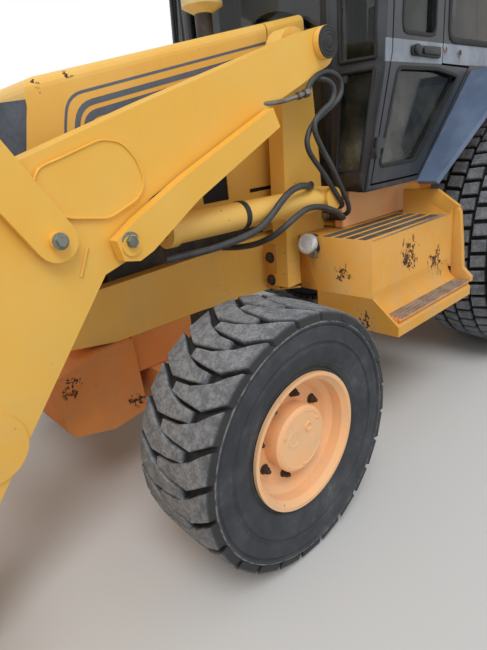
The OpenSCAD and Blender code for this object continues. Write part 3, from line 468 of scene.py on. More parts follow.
class Finishes:
    """Every finish of the machine, made once."""

    def __init__(self) -> None:
        """Builds the materials by plain name."""
        yellow, faded = srgb(240, 186, 80), srgb(244, 198, 104)
        deep = srgb(228, 168, 70)
        # Where the paint is worn most: x, y, z and radius
        hood_chips = ((2454, 340, 1504, 34), (2347, 340, 1539, 34), (2490, 300, 1380, 40))
        step_scrapes = ((1480, 700, 740, 70), (1200, 839, 770, 130), (960, 839, 690, 110),
                        (1480, 800, 560, 90))
        nose_rust = ((2560, 340, 560, 70), (2330, 340, 400, 60))
        waist_rust = ((680, 700, 1597, 40), (526, 700, 1582, 50), (406, 700, 1520, 50))
        kinds = [
            WornPaint("yellow_hood", yellow, faded, chips=0.35, dirt=0.30, rough=0.36, spots=hood_chips),
            WornPaint("yellow_arm", srgb(243, 185, 70), srgb(245, 196, 92),
                      chips=0.30, dirt=0.30, rough=0.34),
            WornPaint("yellow_step", srgb(216, 152, 56), deep, chips=0.5, dirt=0.7, rough=0.5,
                      rust=srgb(126, 78, 44), spots=step_scrapes),
            WornPaint("yellow_frame", srgb(244, 190, 84), srgb(246, 200, 106),
                      chips=0.6, dirt=0.4, rough=0.45),
            WornPaint("yellow_ram", srgb(240, 190, 92), faded, chips=0.5, dirt=0.35, rough=0.36),
            WornPaint("orange_cast", srgb(236, 158, 88), srgb(222, 138, 66), chips=0.6, dirt=0.5, rough=0.55,
                      rust=srgb(146, 88, 48), spots=nose_rust),
            WornPaint("orange_rim", srgb(244, 184, 128), srgb(248, 200, 152),
                      chips=0.5, dirt=0.45, rough=0.5),
            WornPaint("orange_panel", srgb(246, 182, 124), srgb(250, 196, 142),
                      chips=0.3, dirt=0.25, rough=0.45),
            # The paler band below the cab's windows is a painted reflection of the sky
            WornPaint("slate_cab", srgb(40, 44, 50), srgb(58, 62, 70), chips=0.5, dirt=0.25, rough=0.30,
                      rust=srgb(150, 104, 74), spots=waist_rust, band=(1542.0, 1622.0)),
            WornPaint("slate_fender", srgb(84, 100, 126), srgb(112, 130, 158),
                      chips=0.2, dirt=0.25, rough=0.30),
            WornPaint("black_iron", srgb(38, 37, 37), srgb(58, 54, 50), chips=0.4, dirt=0.8, rough=0.55),
            Plain("stripe_slate", srgb(86, 100, 116), srgb(98, 112, 128), rough=0.45),
            Plain("grille_slate", srgb(66, 76, 92), srgb(88, 98, 112), rough=0.5, depth=0.0008),
            Plain("black_trim", srgb(26, 26, 28), srgb(44, 44, 46), rough=0.55),
            Plain("black_seal", srgb(18, 18, 20), srgb(34, 34, 36), rough=0.7),
            Plain("hose_rubber", srgb(44, 46, 48), srgb(70, 72, 74), rough=0.5, grain=240.0),
            Plain("zinc_steel", srgb(150, 150, 146), srgb(112, 108, 100), rough=0.42, metal=0.75),
            Plain("rust_nut", srgb(74, 56, 44), srgb(48, 38, 34), rough=0.75, depth=0.001),
            Plain("grey_bolt", srgb(134, 140, 132), srgb(104, 108, 100), rough=0.45, metal=0.5),
            Plain("worn_steel", srgb(176, 172, 164), srgb(140, 126, 108), rough=0.4, metal=0.5),
            # A light silver cap, so little metallic that its near-white base also stands in for its bright
            # reflection: partly painted sheen
            Plain("bright_cap", srgb(228, 232, 234), srgb(196, 200, 204), rough=0.3, metal=0.3),
            Stack("stack"),
            Plain("hard_chrome", srgb(206, 206, 204), srgb(178, 178, 176), rough=0.2, metal=1.0,
                  depth=0.0001),
            Plain("seat_cloth", srgb(44, 46, 50), srgb(62, 64, 68), rough=0.85, grain=420.0, depth=0.0012),
            Plain("console_plastic", srgb(48, 48, 50), srgb(66, 66, 68), rough=0.6),
            Plain("lamp_lens", srgb(214, 216, 214), srgb(186, 190, 190), rough=0.18, coat=0.6),
            Plain("grip_strip", srgb(70, 66, 62), srgb(104, 98, 90), rough=0.9, grain=500.0, depth=0.0015),
            CabGlass("cab_glass", srgb(12, 22, 20)),
            Tyre("front_tyre", (2150.0, 899.0, 420.0), tread_r=420.0, floor_r=391.0, bead_r=207.0,
                 line_r=380.0),
            Tyre("rear_tyre", (0.0, 820.0, 665.0), tread_r=665.0, floor_r=634.0, bead_r=305.0),
        ]
        self.made = {kind.name: kind.material() for kind in kinds}
        LOG.info("made %d finishes", len(self.made))

    def __getitem__(self, name: str) -> bpy.types.Material:
        """The material of that name."""
        return self.made[name]


class Workpiece:
    """Collects the surfaces of one piece before it becomes an object."""

    def __init__(self, name: str, finish: bpy.types.Material) -> None:
        """Starts an empty piece of that name and material."""
        self.name = name
        self.finish = finish
        self.mesh = bmesh.new()

    def bridge(self, rings: list[list[bmesh.types.BMVert]], around: bool = False,
               caps: bool = True) -> "Workpiece":
        """Joins rings of as many points each with four-sided faces.

        Args:
            rings: Closed rings of points.
            around: Whether the last ring joins the first.
            caps: Whether the first and last ring are closed by a face.

        Returns:
            This workpiece.
        """
        for first, second in zip(rings, [*rings[1:], rings[0]] if around else rings[1:]):
            for i, point in enumerate(first):
                j = (i + 1) % len(first)
                self.mesh.faces.new((point, first[j], second[j], second[i]))
        if caps and not around:
            self.mesh.faces.new(rings[0])
            self.mesh.faces.new(list(reversed(rings[-1])))
        return self

    def prism(self, outline: Sequence[Flat], axis: Axis, near: float, far: float) -> "Workpiece":
        """Draws a closed outline out along an axis, from near to far in millimetres from the rear axle."""
        ends = [[axis.lift(a, b, depth) for a, b in outline] for depth in (near, far)]
        return self.bridge([[self.mesh.verts.new(point) for point in end] for end in ends])

    def block(self, low: Point, high: Point, cut: float = 0.0) -> "Workpiece":
        """Adds a block between its lowest and highest corner.

        Args:
            low: Lowest corner in millimetres from the rear axle.
            high: Highest corner.
            cut: Size of the cut at its four corners, seen along Y.

        Returns:
            This workpiece.
        """
        (x0, y0, z0), (x1, y1, z1) = low, high
        outline = [(x0, z0), (x1, z0), (x1, z1), (x0, z1)]
        if cut > 0:
            outline = [(x0 + cut, z0), (x1 - cut, z0), (x1, z0 + cut), (x1, z1 - cut),
                       (x1 - cut, z1), (x0 + cut, z1), (x0, z1 - cut), (x0, z0 + cut)]
        return self.prism(outline, Axis.Y, y0, y1)

    def lathe(self, profile: Sequence[Flat], centre: Vector, axis: Vector, steps: int = 32,
              ring: bool = False) -> "Workpiece":
        """Turns a profile about an axis.

        Args:
            profile: Points as (radius, distance along the axis), in millimetres.
            centre: Where the axis starts, in metres.
            axis: Direction of the axis.
            steps: Faces round.
            ring: Whether the last point joins the first, as on a tyre.

        Returns:
            This workpiece.
        """
        along = axis.normalized()
        across_way = along.orthogonal().normalized()
        third = along.cross(across_way)
        turns = [2 * math.pi * i / steps for i in range(steps)]
        ways = [across_way * math.cos(angle) + third * math.sin(angle) for angle in turns]
        rings = [[self.mesh.verts.new(centre + way * radius * MM + along * reach * MM) for way in ways]
                 for radius, reach in profile]
        self.bridge(rings, around=ring, caps=False)
        for end in (0, -1):
            if not ring and profile[end][0] > 0.01:
                self.mesh.faces.new(rings[end])
        return self

    def tube(self, path: Sequence[Vector], radius: float, sides: int = 12, steps: int = 8) -> "Workpiece":
        """Sweeps a round bar along a smooth curve.

        Args:
            path: Points in metres.
            radius: Radius of the bar in millimetres.
            sides: Faces round.
            steps: Rings from one point to the next.

        Returns:
            This workpiece.
        """
        points = smooth_path(path, steps)
        rings = []
        up = (points[1] - points[0]).orthogonal().normalized()
        turns = [2 * math.pi * k / sides for k in range(sides)]
        for i, point in enumerate(points):
            along = (points[min(i + 1, len(points) - 1)] - points[max(i - 1, 0)]).normalized()
            up = (up - along * up.dot(along)).normalized()
            side = along.cross(up)
            ways = [up * math.cos(turn) + side * math.sin(turn) for turn in turns]
            rings.append([self.mesh.verts.new(point + way * radius * MM) for way in ways])
        return self.bridge(rings)

    def strip(self, path: Sequence[Flat], width: float, axis: Axis, near: float, far: float,
              closed: bool = False) -> "Workpiece":
        """Lays a flat bar with mitred corners along a path.

        Args:
            path: Flat points of its middle line, in millimetres.
            width: Width of the bar.
            axis: Direction of its thickness.
            near: Start of the thickness along the axis.
            far: End of the thickness.
            closed: Whether the last point joins the first.

        Returns:
            This workpiece.
        """
        points = [Vector(point) for point in path]
        last = len(points) - 1
        rings = []
        for i, here in enumerate(points):
            ways = []
            if closed or i > 0:
                ways.append((here - points[i - 1]).normalized())
            if closed or i < last:
                ways.append((points[(i + 1) % len(points)] - here).normalized())
            mitre = sum(ways, Vector((0.0, 0.0))).normalized()
            off = Vector((-mitre.y, mitre.x)) * (width / 2 / max(mitre.dot(ways[0]), 0.4))
            corners = ((here + off, near), (here + off, far), (here - off, far), (here - off, near))
            rings.append([self.mesh.verts.new(axis.lift(*point, depth)) for point, depth in corners])
        return self.bridge(rings, around=closed)

    def mirrored(self) -> "Workpiece":
        """Adds the mirror image across the machine's middle."""
        whole = [*self.mesh.verts, *self.mesh.edges, *self.mesh.faces]
        copy = bmesh.ops.duplicate(self.mesh, geom=whole)
        for item in copy["geom"]:
            if isinstance(item, bmesh.types.BMVert):
                item.co.y = -item.co.y
        return self

    def turned_to(self, side: Side) -> "Workpiece":
        """Moves a piece drawn on the left to the given side."""
        for vertex in self.mesh.verts:
            vertex.co.y *= side.value
        return self

    def loose(self, bevel: float = 0.0) -> bpy.types.Object:
        """Makes the object, with edges rounded by a bevel in millimetres, that rides on nothing yet."""
        made = added(self.name, closed_mesh(self.name, self.mesh, self.finish))
        if bevel > 0:
            configured(made.modifiers.new("rounded", "BEVEL"), width=bevel * MM, segments=2,
                       limit_method="ANGLE", angle_limit=math.radians(BEVEL_OVER))
            bake(made)
        return made

    def place(self, body: str, slot: str, bevel: float = 0.0, sharp: float = 35.0) -> bpy.types.Object:
        """Makes the object and lets it ride.

        Args:
            body: Body that the piece moves with.
            slot: Not used.
            bevel: Width of rounded edges in millimetres, or 0.
            sharp: Edges over this angle in degrees stay sharp.

        Returns:
            The finished object.
        """
        return settled(self.loose(bevel), body, sharp)

    def bend(self, first: str, second: str, start: Vector, end: Vector) -> None:
        """Makes the hose as a smooth-shaded object that stays in place on no body; start and end are in metres.
        """
        made = self.loose()
        smooth(made.data, 60.0)
        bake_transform(made)
        LOG.info("held %s by %s and %s", self.name, first, second)


def closed_mesh(name: str, source: bmesh.types.BMesh,
                finish: bpy.types.Material | None = None) -> bpy.types.Mesh:
    """Turns loose surfaces into a mesh with merged points and faces that point outwards.

    Args:
        name: Name of the mesh.
        source: The surfaces, which are freed.
        finish: Material of the mesh.

    Returns:
        The mesh.
    """
    bmesh.ops.remove_doubles(source, verts=source.verts, dist=WELD)
    bmesh.ops.recalc_face_normals(source, faces=source.faces)
    data = bpy.data.meshes.new(name)
    source.to_mesh(data)
    source.free()
    if finish:
        data.materials.append(finish)
    return data


def settled(made: bpy.types.Object, body: str, sharp: float = 35.0) -> bpy.types.Object:
    """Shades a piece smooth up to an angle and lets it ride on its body."""
    smooth(made.data, sharp)
    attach(made, body)
    LOG.info("placed %s on %s", made.name, body)
    return made


def smooth_path(path: Sequence[Vector], steps: int) -> list[Vector]:
    """Runs a smooth curve through points, in so many pieces from one to the next."""
    if steps < 2 or len(path) < 3:
        return list(path)
    ends = [path[0] * 2 - path[1], *path, path[-1] * 2 - path[-2]]
    curve = []
    for a, b, c, d in zip(ends, ends[1:], ends[2:], ends[3:]):
        for i in range(steps):
            t = i / steps
            near = b * 2 + (c - a) * t + (a * 2 - b * 5 + c * 4 - d) * t * t
            curve.append((near + (b * 3 - a - c * 3 + d) * t**3) * 0.5)
    curve.append(path[-1])
    return curve


def bake(made: bpy.types.Object) -> None:
    """Applies an object's modifiers to its mesh."""
    bpy.context.view_layer.update()
    evaluated = made.evaluated_get(bpy.context.evaluated_depsgraph_get())
    result = bpy.data.meshes.new_from_object(evaluated)
    made.modifiers.clear()
    made.data = result


def smooth(data: bpy.types.Mesh, sharp: float) -> None:
    """Shades a mesh smooth, apart from edges over an angle in degrees."""
    data.polygons.foreach_set("use_smooth", [True] * len(data.polygons))
    data.set_sharp_from_angle(angle=math.radians(sharp))


@dataclass
class Place:
    """Where one copy of a stamp goes: its foot, the way it points, and its size."""

    foot: Vector
    along: Vector
    size: float = 1.0


def both_sides(x: float, y: float, z: float) -> list[Place]:
    """A place on each side, given for the left, that points outwards."""
    return [Place(pt(x, y * side.value, z), Vector((0, side.value, 0))) for side in Side]


class Stamps:
    """The small shapes that are set many times, by one Geometry Nodes tree."""

    def __init__(self, finishes: Finishes) -> None:
        """Builds the tree and draws each shape at the origin, pointing up."""
        self.finishes = finishes
        self._grow()
        washer = [(0.0, 0.0), (17.0, 0.0), (17.0, 2.5), (16.0, 3.0), (0.0, 3.0)]
        head = [(0.0, 3.0), (11.0, 3.0), (11.5, 4.0), (11.5, 10.0), (10.0, 12.0), (0.0, 12.0)]
        self.bolt = self._shape("hex_bolt", [(washer, 20), (head, 6)])
        nut = [(0.0, 3.0), (12.0, 3.0), (12.5, 4.0), (12.5, 15.0), (11.0, 17.0), (0.0, 17.0)]
        stud = [(0.0, 16.0), (7.0, 16.0), (7.0, 25.0), (5.5, 27.0), (0.0, 27.0)]
        self.nut = self._shape("wheel_nut", [(washer, 20), (nut, 6), (stud, 12)])
        self.tooth = self._shape("grip_tooth", [([(0.0, 0.0), (5.0, 0.0), (3.0, 6.0), (0.0, 6.5)], 8)])

    def _shape(self, name: str, parts: list[tuple[list[Flat], int]]) -> bpy.types.Object:
        """Turns the given profiles into one loose shape that isn't part of the scene."""
        piece = Workpiece(name, self.finishes["zinc_steel"])
        for profile, steps in parts:
            piece.lathe(profile, Vector((0.0, 0.0, 0.0)), Vector((0.0, 0.0, 1.0)), steps)
        return bpy.data.objects.new(name, closed_mesh(name, piece.mesh))

    def _grow(self) -> None:
        """Builds the tree with its named inputs."""
        self.tree = bpy.data.node_groups.new("stamp_on_points", "GeometryNodeTree")
        face = self.tree.interface
        face.new_socket("Geometry", in_out="INPUT", socket_type="NodeSocketGeometry")
        self.inputs = {}
        for name, kind in (("Stamp", "Object"), ("Size", "Float"), ("Spin", "Float"), ("Finish", "Material")):
            socket = face.new_socket(name, in_out="INPUT", socket_type=f"NodeSocket{kind}")
            self.inputs[name] = socket.identifier
        face.new_socket("Geometry", in_out="OUTPUT", socket_type="NodeSocketGeometry")
        node = partial(linked, self.tree)
        given = node("NodeGroupInput").outputs
        stamp = node("GeometryNodeObjectInfo", {"Object": given["Stamp"]})
        named = []
        for name, kind in (("turn", "FLOAT_VECTOR"), ("size", "FLOAT")):
            made = node("GeometryNodeInputNamedAttribute", data_type=kind)
            made.inputs["Name"].default_value = name
            named.append(made.outputs["Attribute"])
        scale = node("ShaderNodeMath", {0: named[1], 1: given["Size"]}, operation="MULTIPLY")
        chance = node("FunctionNodeRandomValue", {3: given["Spin"]}, data_type="FLOAT")
        chance.inputs["Seed"].default_value = SEED
        spin = node("ShaderNodeCombineXYZ", {"Z": chance.outputs[1]})
        links = {"Points": given["Geometry"], "Instance": stamp.outputs["Geometry"], "Rotation": named[0],
                 "Scale": scale.outputs[0]}
        points = node("GeometryNodeInstanceOnPoints", links)
        twist = node("GeometryNodeRotateInstances", {0: points.outputs[0], "Rotation": spin.outputs[0]})
        real = node("GeometryNodeRealizeInstances", {0: twist.outputs[0]})
        finish = node("GeometryNodeSetMaterial", {"Geometry": real.outputs[0], "Material": given["Finish"]})
        node("NodeGroupOutput", {0: finish.outputs[0]})

    def set(self, name: str, stamp: bpy.types.Object, places: Sequence[Place], finish: str,
            body: str, slot: str, size: float = 1.0, spin: float = 0.0) -> None:
        """Stamps a shape on every place and makes the result one plain mesh.

        Args:
            name: Name of the new piece.
            stamp: Small shape, drawn at the origin and pointing along +Z.
            places: Where the copies go.
            finish: Name of their finish.
            body: Body that they move with.
            slot: Not used.
            size: Scale of all the copies.
            spin: Most that a copy is turned about its own axis, in radians.
        """
        coat = self.finishes[finish]
        data = bpy.data.meshes.new(name)
        data.from_pydata([tuple(place.foot) for place in places], [], [])
        data.attributes.new("turn", "FLOAT_VECTOR", "POINT")
        data.attributes.new("size", "FLOAT", "POINT")
        for i, place in enumerate(places):
            data.attributes["turn"].data[i].vector = tuple(place.along.to_track_quat("Z", "Y").to_euler())
            data.attributes["size"].data[i].value = place.size
        made = added(name, data)
        modifier = made.modifiers.new("stamps", "NODES")
        modifier.node_group = self.tree
        for key, value in (("Stamp", stamp), ("Size", size), ("Spin", spin), ("Finish", coat)):
            modifier[self.inputs[key]] = value
        bake(made)
        if not made.data.materials:
            made.data.materials.append(coat)
        settled(made, body)

    def clear(self) -> None:
        """Removes the loose shapes once all copies are real."""
        for shape in (self.bolt, self.nut, self.tooth):
            bpy.data.objects.remove(shape)


def filleted(path: Sequence[Flat], radius: float, closed: bool = False, steps: int = 5) -> list[Flat]:
    """Rounds the corners of a flat path.

    Args:
        path: Corner points.
        radius: How far back from a corner its rounding starts.
        closed: Whether the last point joins the first.
        steps: Pieces of one rounding.

    Returns:
        The points of the rounded path.
    """
    corners = [Vector(point) for point in path]
    result = []
    for i, here in enumerate(corners):
        if not closed and i in (0, len(corners) - 1):
            result.append(tuple(here))
            continue
        before, after = corners[i - 1] - here, corners[(i + 1) % len(corners)] - here
        # A rounding takes a little less than half of each side, so that two never meet
        reach = min(radius, before.length * 0.48, after.length * 0.48)
        start, end = here + before.normalized() * reach, here + after.normalized() * reach
        for k in range(steps + 1):
            t = k / steps
            result.append(tuple(start * (1 - t) ** 2 + here * 2 * t * (1 - t) + end * t * t))
    return result


def across(point: Vector, side: Side) -> Vector:
    """The point, or its mirror image on the right."""
    return Vector((point.x, point.y * side.value, point.z))


def wedge(outline: Sequence[Flat], axis: Axis, near: float, far: float) -> list[Vector]:
    """The corners in metres of an outline that is drawn out along an axis, for a cut."""
    return [axis.lift(a, b, depth) for depth in (near, far) for a, b in outline]


def carved(name: str, node: str, finish: bpy.types.Material, sharp: float,
           corners: Sequence[Vector]) -> None:
    """Shows a copy of one of the machine's solids in its place, cut open on both sides.

    Args:
        name: Name of the new piece.
        node: Solid that is copied and replaced.
        finish: Material of the copy.
        sharp: Edges over this angle in degrees stay sharp.
        corners: Points in metres whose convex hull is taken away, drawn on the left.
    """
    copy = bmesh.new()
    copy.from_mesh(bpy.data.objects[node].data)
    made = added(name, closed_mesh(name, copy, finish))
    tools = []
    for side in Side:
        cutter = bmesh.new()
        bmesh.ops.convex_hull(cutter, input=[cutter.verts.new(across(point, side)) for point in corners])
        tools.append(added("cutter", closed_mesh("cutter", cutter)))
        configured(made.modifiers.new("cut", "BOOLEAN"), operation="DIFFERENCE", solver="EXACT",
                   object=tools[-1])
    bake(made)
    for tool in tools:
        bpy.data.objects.remove(tool)
    settled(made, "machine", sharp)
    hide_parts(node)


@dataclass(frozen=True)
class Shop:
    """What every sub-assembly is dressed with."""

    finishes: Finishes
    stamps: Stamps

    def piece(self, name: str, finish: str) -> Workpiece:
        """Starts a workpiece with a finish by its name."""
        return Workpiece(name, self.finishes[finish])


@dataclass(frozen=True)
class CadDress:
    """The finish of every solid that shows as it is."""

    finishes: tuple[tuple[str, str], ...] = (
        ("yellow_frame", "main_frame loader_bucket hoe_bucket swing_tower"),
        ("yellow_hood", "cowl hood"),
        ("yellow_arm", "loader_arms tilt_levers bucket_links boom dipper hoe_guide_bars hoe_bucket_link"
                       " stabilizer_left stabilizer_right"),
        ("yellow_step", "step_boxes"),
        ("yellow_ram", "lift_barrels tilt_barrels boom_ram_barrel dipper_ram_barrel bucket_ram_barrel"
                       " leg_barrel_left leg_barrel_right"),
        ("orange_cast", "front_axle rear_axle nose_weight knuckle_left knuckle_right"),
        ("orange_rim", "front_wheel_left front_wheel_right rear_wheel_left rear_wheel_right"),
        ("orange_panel", "cab_floor"),
        ("slate_cab", "cab_posts cab_roof door_left door_right"),
        ("slate_fender", "rear_fenders"),
        ("grille_slate", "front_grille"),
        ("black_iron", "engine_block"),
        ("stack", "exhaust"),
        ("console_plastic", "cab_interior"),
        ("lamp_lens", "lamps hood_lamps"),
        ("cab_glass", "cab_glass door_glass_left door_glass_right"),
        ("hard_chrome", "lift_rods tilt_rods boom_ram_rod dipper_ram_rod bucket_ram_rod"
                        " leg_rod_left leg_rod_right"),
        ("front_tyre", "front_tyre_left front_tyre_right"),
        ("rear_tyre", "rear_tyre_left rear_tyre_right"),
        ("seat_cloth", "seat_cushion"),
    )

    def build(self, nodes: dict[str, bpy.types.Object], finishes: Finishes) -> None:
        """Gives each node its finish.

        Args:
            nodes: The frame's nodes by name.
            finishes: The machine's finishes.
        """
        chosen = {node: finish for finish, names in self.finishes for node in names.split()}
        for name, made in nodes.items():
            finish = finishes[chosen[name]]
            if not made.material_slots:
                made.data.materials.append(finish)
            for holder in made.material_slots:
                holder.link = "OBJECT"
                holder.material = finish
        LOG.info("dressed %d solids", len(nodes))


@dataclass(frozen=True)
class Wheel:
    """The wheel bolts, hub marks and tyre of one axle end, seen from the machine's left."""

    word: str
    disc: float
    hub_out: float
    nut_ring: float
    hub_r: float
    profile: tuple[Flat, ...]
    floor_r: float
    rows: tuple[tuple[float, tuple[Point, ...]], ...]
    pitches: int
    nuts: int = 8

    def build(self, shop: Shop) -> None:
        """Builds both wheels of the axle."""
        for side in Side:
            low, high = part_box(f"{self.word}_tyre_{side.word}")
            hub = (low + high) / 2
            radius = (high.z - low.z) / 2 / MM
            body = f"{side.word}_{self.word}_wheel"
            self._tyre(shop, side, hub, radius, body)
            self._bolts(shop, side, hub, body)

    def _tyre(self, shop: Shop, side: Side, hub: Vector, radius: float, body: str) -> None:
        """Builds the carcass and its lugs.

        Args:
            shop: Finishes and stamps.
            side: Side of the machine.
            hub: Middle of the tyre, in metres.
            radius: Outer radius in millimetres.
            body: Body of the wheel.
        """
        piece = shop.piece(f"{self.word}_tread_{side.word}", f"{self.word}_tyre")
        outward = Vector((0.0, float(side.value), 0.0))
        full = [*self.profile, *((r, -y) for r, y in reversed(self.profile))]
        piece.lathe(full, hub, outward, 128, ring=True)
        step = 2 * math.pi / self.pitches
        for turn, ribs in self.rows:
            for i in range(self.pitches):
                self._lug(piece, hub, side, radius, (i + turn) * step, ribs)
        made = piece.place(body, "tyre_rubber", sharp=32.0)
        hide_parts(f"{self.word}_tyre_{side.word}")

    def _lug(self, piece: Workpiece, hub: Vector, side: Side, radius: float, turn: float,
             ribs: Sequence[Point]) -> None:
        """Adds one lug as a bar lofted over ribs.

        Args:
            piece: The tyre.
            hub: Middle of the tyre, in metres.
            side: Side of the machine.
            radius: Outer radius in millimetres.
            turn: Angle of the lug from the top, forward, in radians.
            ribs: Sections as (place to the outside, rear edge, front edge), in millimetres.
        """
        # The lug is 3 mm wider at its foot, which lies 6 mm under the tread's floor
        draft, round_off, foot_r = 3.0, 3.0, self.floor_r - 6
        crown = 8.0 / max(abs(ribs[0][0]), abs(ribs[-1][0]), 120.0) ** 2
        rings = []
        last = len(ribs) - 1
        for i, (out, rear, front) in enumerate(ribs):
            ahead = ribs[min(i + 1, last)][0] - ribs[max(i - 1, 0)][0]
            away = -math.copysign(1.0, ahead) if i == 0 else (math.copysign(1.0, ahead) if i == last else 0.0)
            top = radius - crown * out * out
            section = [(rear - draft, foot_r, draft), (rear, top - round_off, 0.0),
                       (rear + round_off, top, -round_off), (front - round_off, top, -round_off),
                       (front, top - round_off, 0.0), (front + draft, foot_r, draft)]
            ring = []
            for forward, r, reach in section:
                angle = turn + forward / radius
                lift = Vector((math.sin(angle), 0.0, math.cos(angle))) * r * MM
                shift = Vector((0.0, side.value * (out + away * reach) * MM, 0.0))
                ring.append(piece.mesh.verts.new(hub + lift + shift))
            rings.append(ring)
        piece.bridge(rings)

    def _bolts(self, shop: Shop, side: Side, hub: Vector, body: str) -> None:
        """Sets the wheel nuts and the marks on the hub's face."""
        outward = Vector((0.0, float(side.value), 0.0))
        word, stamps = side.word, shop.stamps

        def spot(r: float, angle: float, out: float) -> Vector:
            """A point at a radius and angle about the hub, out from its middle."""
            return hub + Vector((math.cos(angle) * r, side.value * out, math.sin(angle) * r)) * MM

        angles = [2 * math.pi * (i + 0.3) / self.nuts for i in range(self.nuts)]
        places = [Place(spot(self.nut_ring, angle, self.disc), outward) for angle in angles]
        stamps.set(f"{self.word}_nuts_{word}", stamps.nut, places, "rust_nut", body, "black_paint", spin=1.0)
        small = [Place(spot(self.hub_r * 0.80, 0.5 + k * 2.1, self.hub_out), outward, 0.42) for k in range(3)]
        stamps.set(f"{self.word}_hub_bolts_{word}", stamps.bolt, small, "orange_rim", body, "orange_paint")
        marks = shop.piece(f"{self.word}_hub_marks_{word}", "orange_rim")
        rim = self.hub_r - 14
        edge = [(rim - 3, 0.0), (rim - 2, 1.6), (rim, 1.6), (rim + 1, 0.0)]
        marks.lathe(edge, spot(0, 0, self.hub_out), outward, 64, ring=True)
        circle = [(26, 0.0), (25, 1.6), (23, 1.6), (22, 0.0)]
        marks.lathe(circle, spot(44, 0.45, self.hub_out), outward, 32, ring=True)
        knob = [(17, 0.0), (16, 5.0), (10, 5.0), (9, 1.0), (0, 1.0)]
        marks.lathe(knob, spot(46, 2.3, self.hub_out), outward, 24)
        marks.place(body, "orange_paint", sharp=30.0)


def front_wheel() -> Wheel:
    """The front wheels: worn bent bar lugs whose tips reach between those of the other half."""
    profile = ((207, 106), (209, 116), (216, 126), (226, 129), (232, 126), (236, 129), (250, 139),
               (282, 150), (304, 153), (310, 148), (317, 148), (321, 152), (350, 152), (362, 153),
               (368, 149), (372, 154), (380, 156), (384, 152), (388, 142), (390, 120), (391, 60), (391, 0))
    left = ((152, -70, 20), (118, -46, 42), (80, -14, 65), (10, 16, 61), (-52, 21, 52))
    right = tuple((-out, rear, front) for out, rear, front in left)
    rows = ((0.0, left), (0.5, right))
    return Wheel("front", disc=60.0, hub_out=120.0, nut_ring=137.0, hub_r=109.0, profile=profile,
                 floor_r=391.0, rows=rows, pitches=24)


def rear_wheel() -> Wheel:
    """The rear wheels: courses of blocks, each set off by half a block from the next."""
    profile = ((305, 176), (308, 188), (318, 200), (334, 205), (344, 201), (352, 206), (400, 226), (450, 237),
               (500, 239), (545, 237), (580, 232), (606, 222), (620, 205), (627, 170), (630, 90), (631, 0))
    half, width, slant = 29.5, 72.0, 8.0
    courses = []
    for turn, middles in ((0.0, (-178.0, 0.0, 178.0)), (0.5, (-89.0, 89.0))):
        for middle in middles:
            cut = slant / 2 if middle >= 0 else -slant / 2
            low, high = middle - width / 2, middle + width / 2
            courses.append((turn, ((low, -half + cut, half + cut), (high, -half - cut, half - cut))))
    return Wheel("rear", disc=90.0, hub_out=130.0, nut_ring=168.0, hub_r=120.0, profile=profile,
                 floor_r=631.0, rows=tuple(courses), pitches=52)


@dataclass(frozen=True)
class HoodTrim:
    """Stripes, screens and small fittings of hood and cowl."""

    face: float = 340.3
    slope: float = -0.2049
    split: Flat = (1463.0, 1469.0)
    cowl_end: float = 1242.0
    screen: tuple[float, float, float, float] = (1756.0, 1891.0, 1078.0, 1171.0)
    grip: tuple[float, float, float, float] = (1480.0, 1636.0, 1088.0, 1104.0)

    def build(self, shop: Shop) -> None:
        """Builds the trim of both sides."""
        self._stripes(shop)
        self._screens(shop)
        plate = shop.piece("blank_plate", "zinc_steel").block((1226, 340.2, 1108), (1300, 341.4, 1153))
        plate.place("machine", "hard_chrome", bevel=0.4)
        lip = shop.piece("hood_front_lips", "yellow_hood")
        lean = [(2493, 1062), (2560, 1062), (2527, 1320), (2504, 1412), (2493, 1452)]
        lip.prism(lean, Axis.Y, 339.0, 340.8)
        lip.mirrored().place("hood_lid", "yellow_paint")
        # A dark block under the engine, set where there is shade: painted shade
        shade_block = shop.piece("oil_sump", "black_iron").block((1590, -150, 520), (1960, 150, 716), cut=40.0)
        shade_block.place("machine", "black_paint", bevel=8.0)

    def _stripes(self, shop: Shop) -> None:
        """Draws the three nested bands on the hood and the two that run on over the cowl."""
        bands = (
            (9.0, [(2366, 1474), (2401, 1350), (2403, 1110), (1960, 1110)]),
            (18.0, [(2333, 1446), (2364, 1345), (2366, 1146), (1960, 1146)]),
            (24.0, [(2308, 1417), (2330, 1345), (2334, 1180), (1960, 1180)]),
        )
        hood = shop.piece("hood_stripes", "stripe_slate")
        cowl = shop.piece("cowl_stripes", "stripe_slate")
        seam_low, seam_high = self.split
        for width, corners in bands:
            x, z = corners[0]
            start = (seam_high + 2, z + (seam_high + 2 - x) * self.slope)
            hood.strip(filleted([start, *corners], 52.0), width, Axis.Y, self.face - 0.4, self.face)
            ends = [(end, z + (end - x) * self.slope) for end in (seam_low - 2, self.cowl_end)]
            cowl.strip(ends, width, Axis.Y, self.face - 0.4, self.face)
        hood.mirrored().place("hood_lid", "slate_paint")
        cowl.mirrored().place("machine", "slate_paint")

    def _screens(self, shop: Shop) -> None:
        """Fills the hood's side openings with a wire screen in front of a dark plate, and the grip slot with a
        dark plate; the plates are painted shade.
        """
        x0, x1, z0, z1 = self.screen
        # Dark plates behind the screen and in the grip slot: painted shade of the hood's inside
        back = shop.piece("screen_backs", "black_seal")
        back.block((x0, 325, z0), (x1, 327, z1))
        x2, x3, z2, z3 = self.grip
        back.block((x2, 322, z2), (x3, 324, z3))
        back.mirrored().place("hood_lid", "black_paint")
        wires = shop.piece("screen_wires", "black_trim")
        pitch = 9.0
        for i in range(int((x1 - x0) / pitch)):
            x = x0 + (i + 0.5) * pitch
            wires.block((x, 331, z0), (x + 2.6, 334, z1))
        for i in range(int((z1 - z0) / pitch)):
            z = z0 + (i + 0.5) * pitch
            wires.block((x0, 332, z), (x1, 335, z + 2.6))
        wires.mirrored().place("hood_lid", "black_paint")


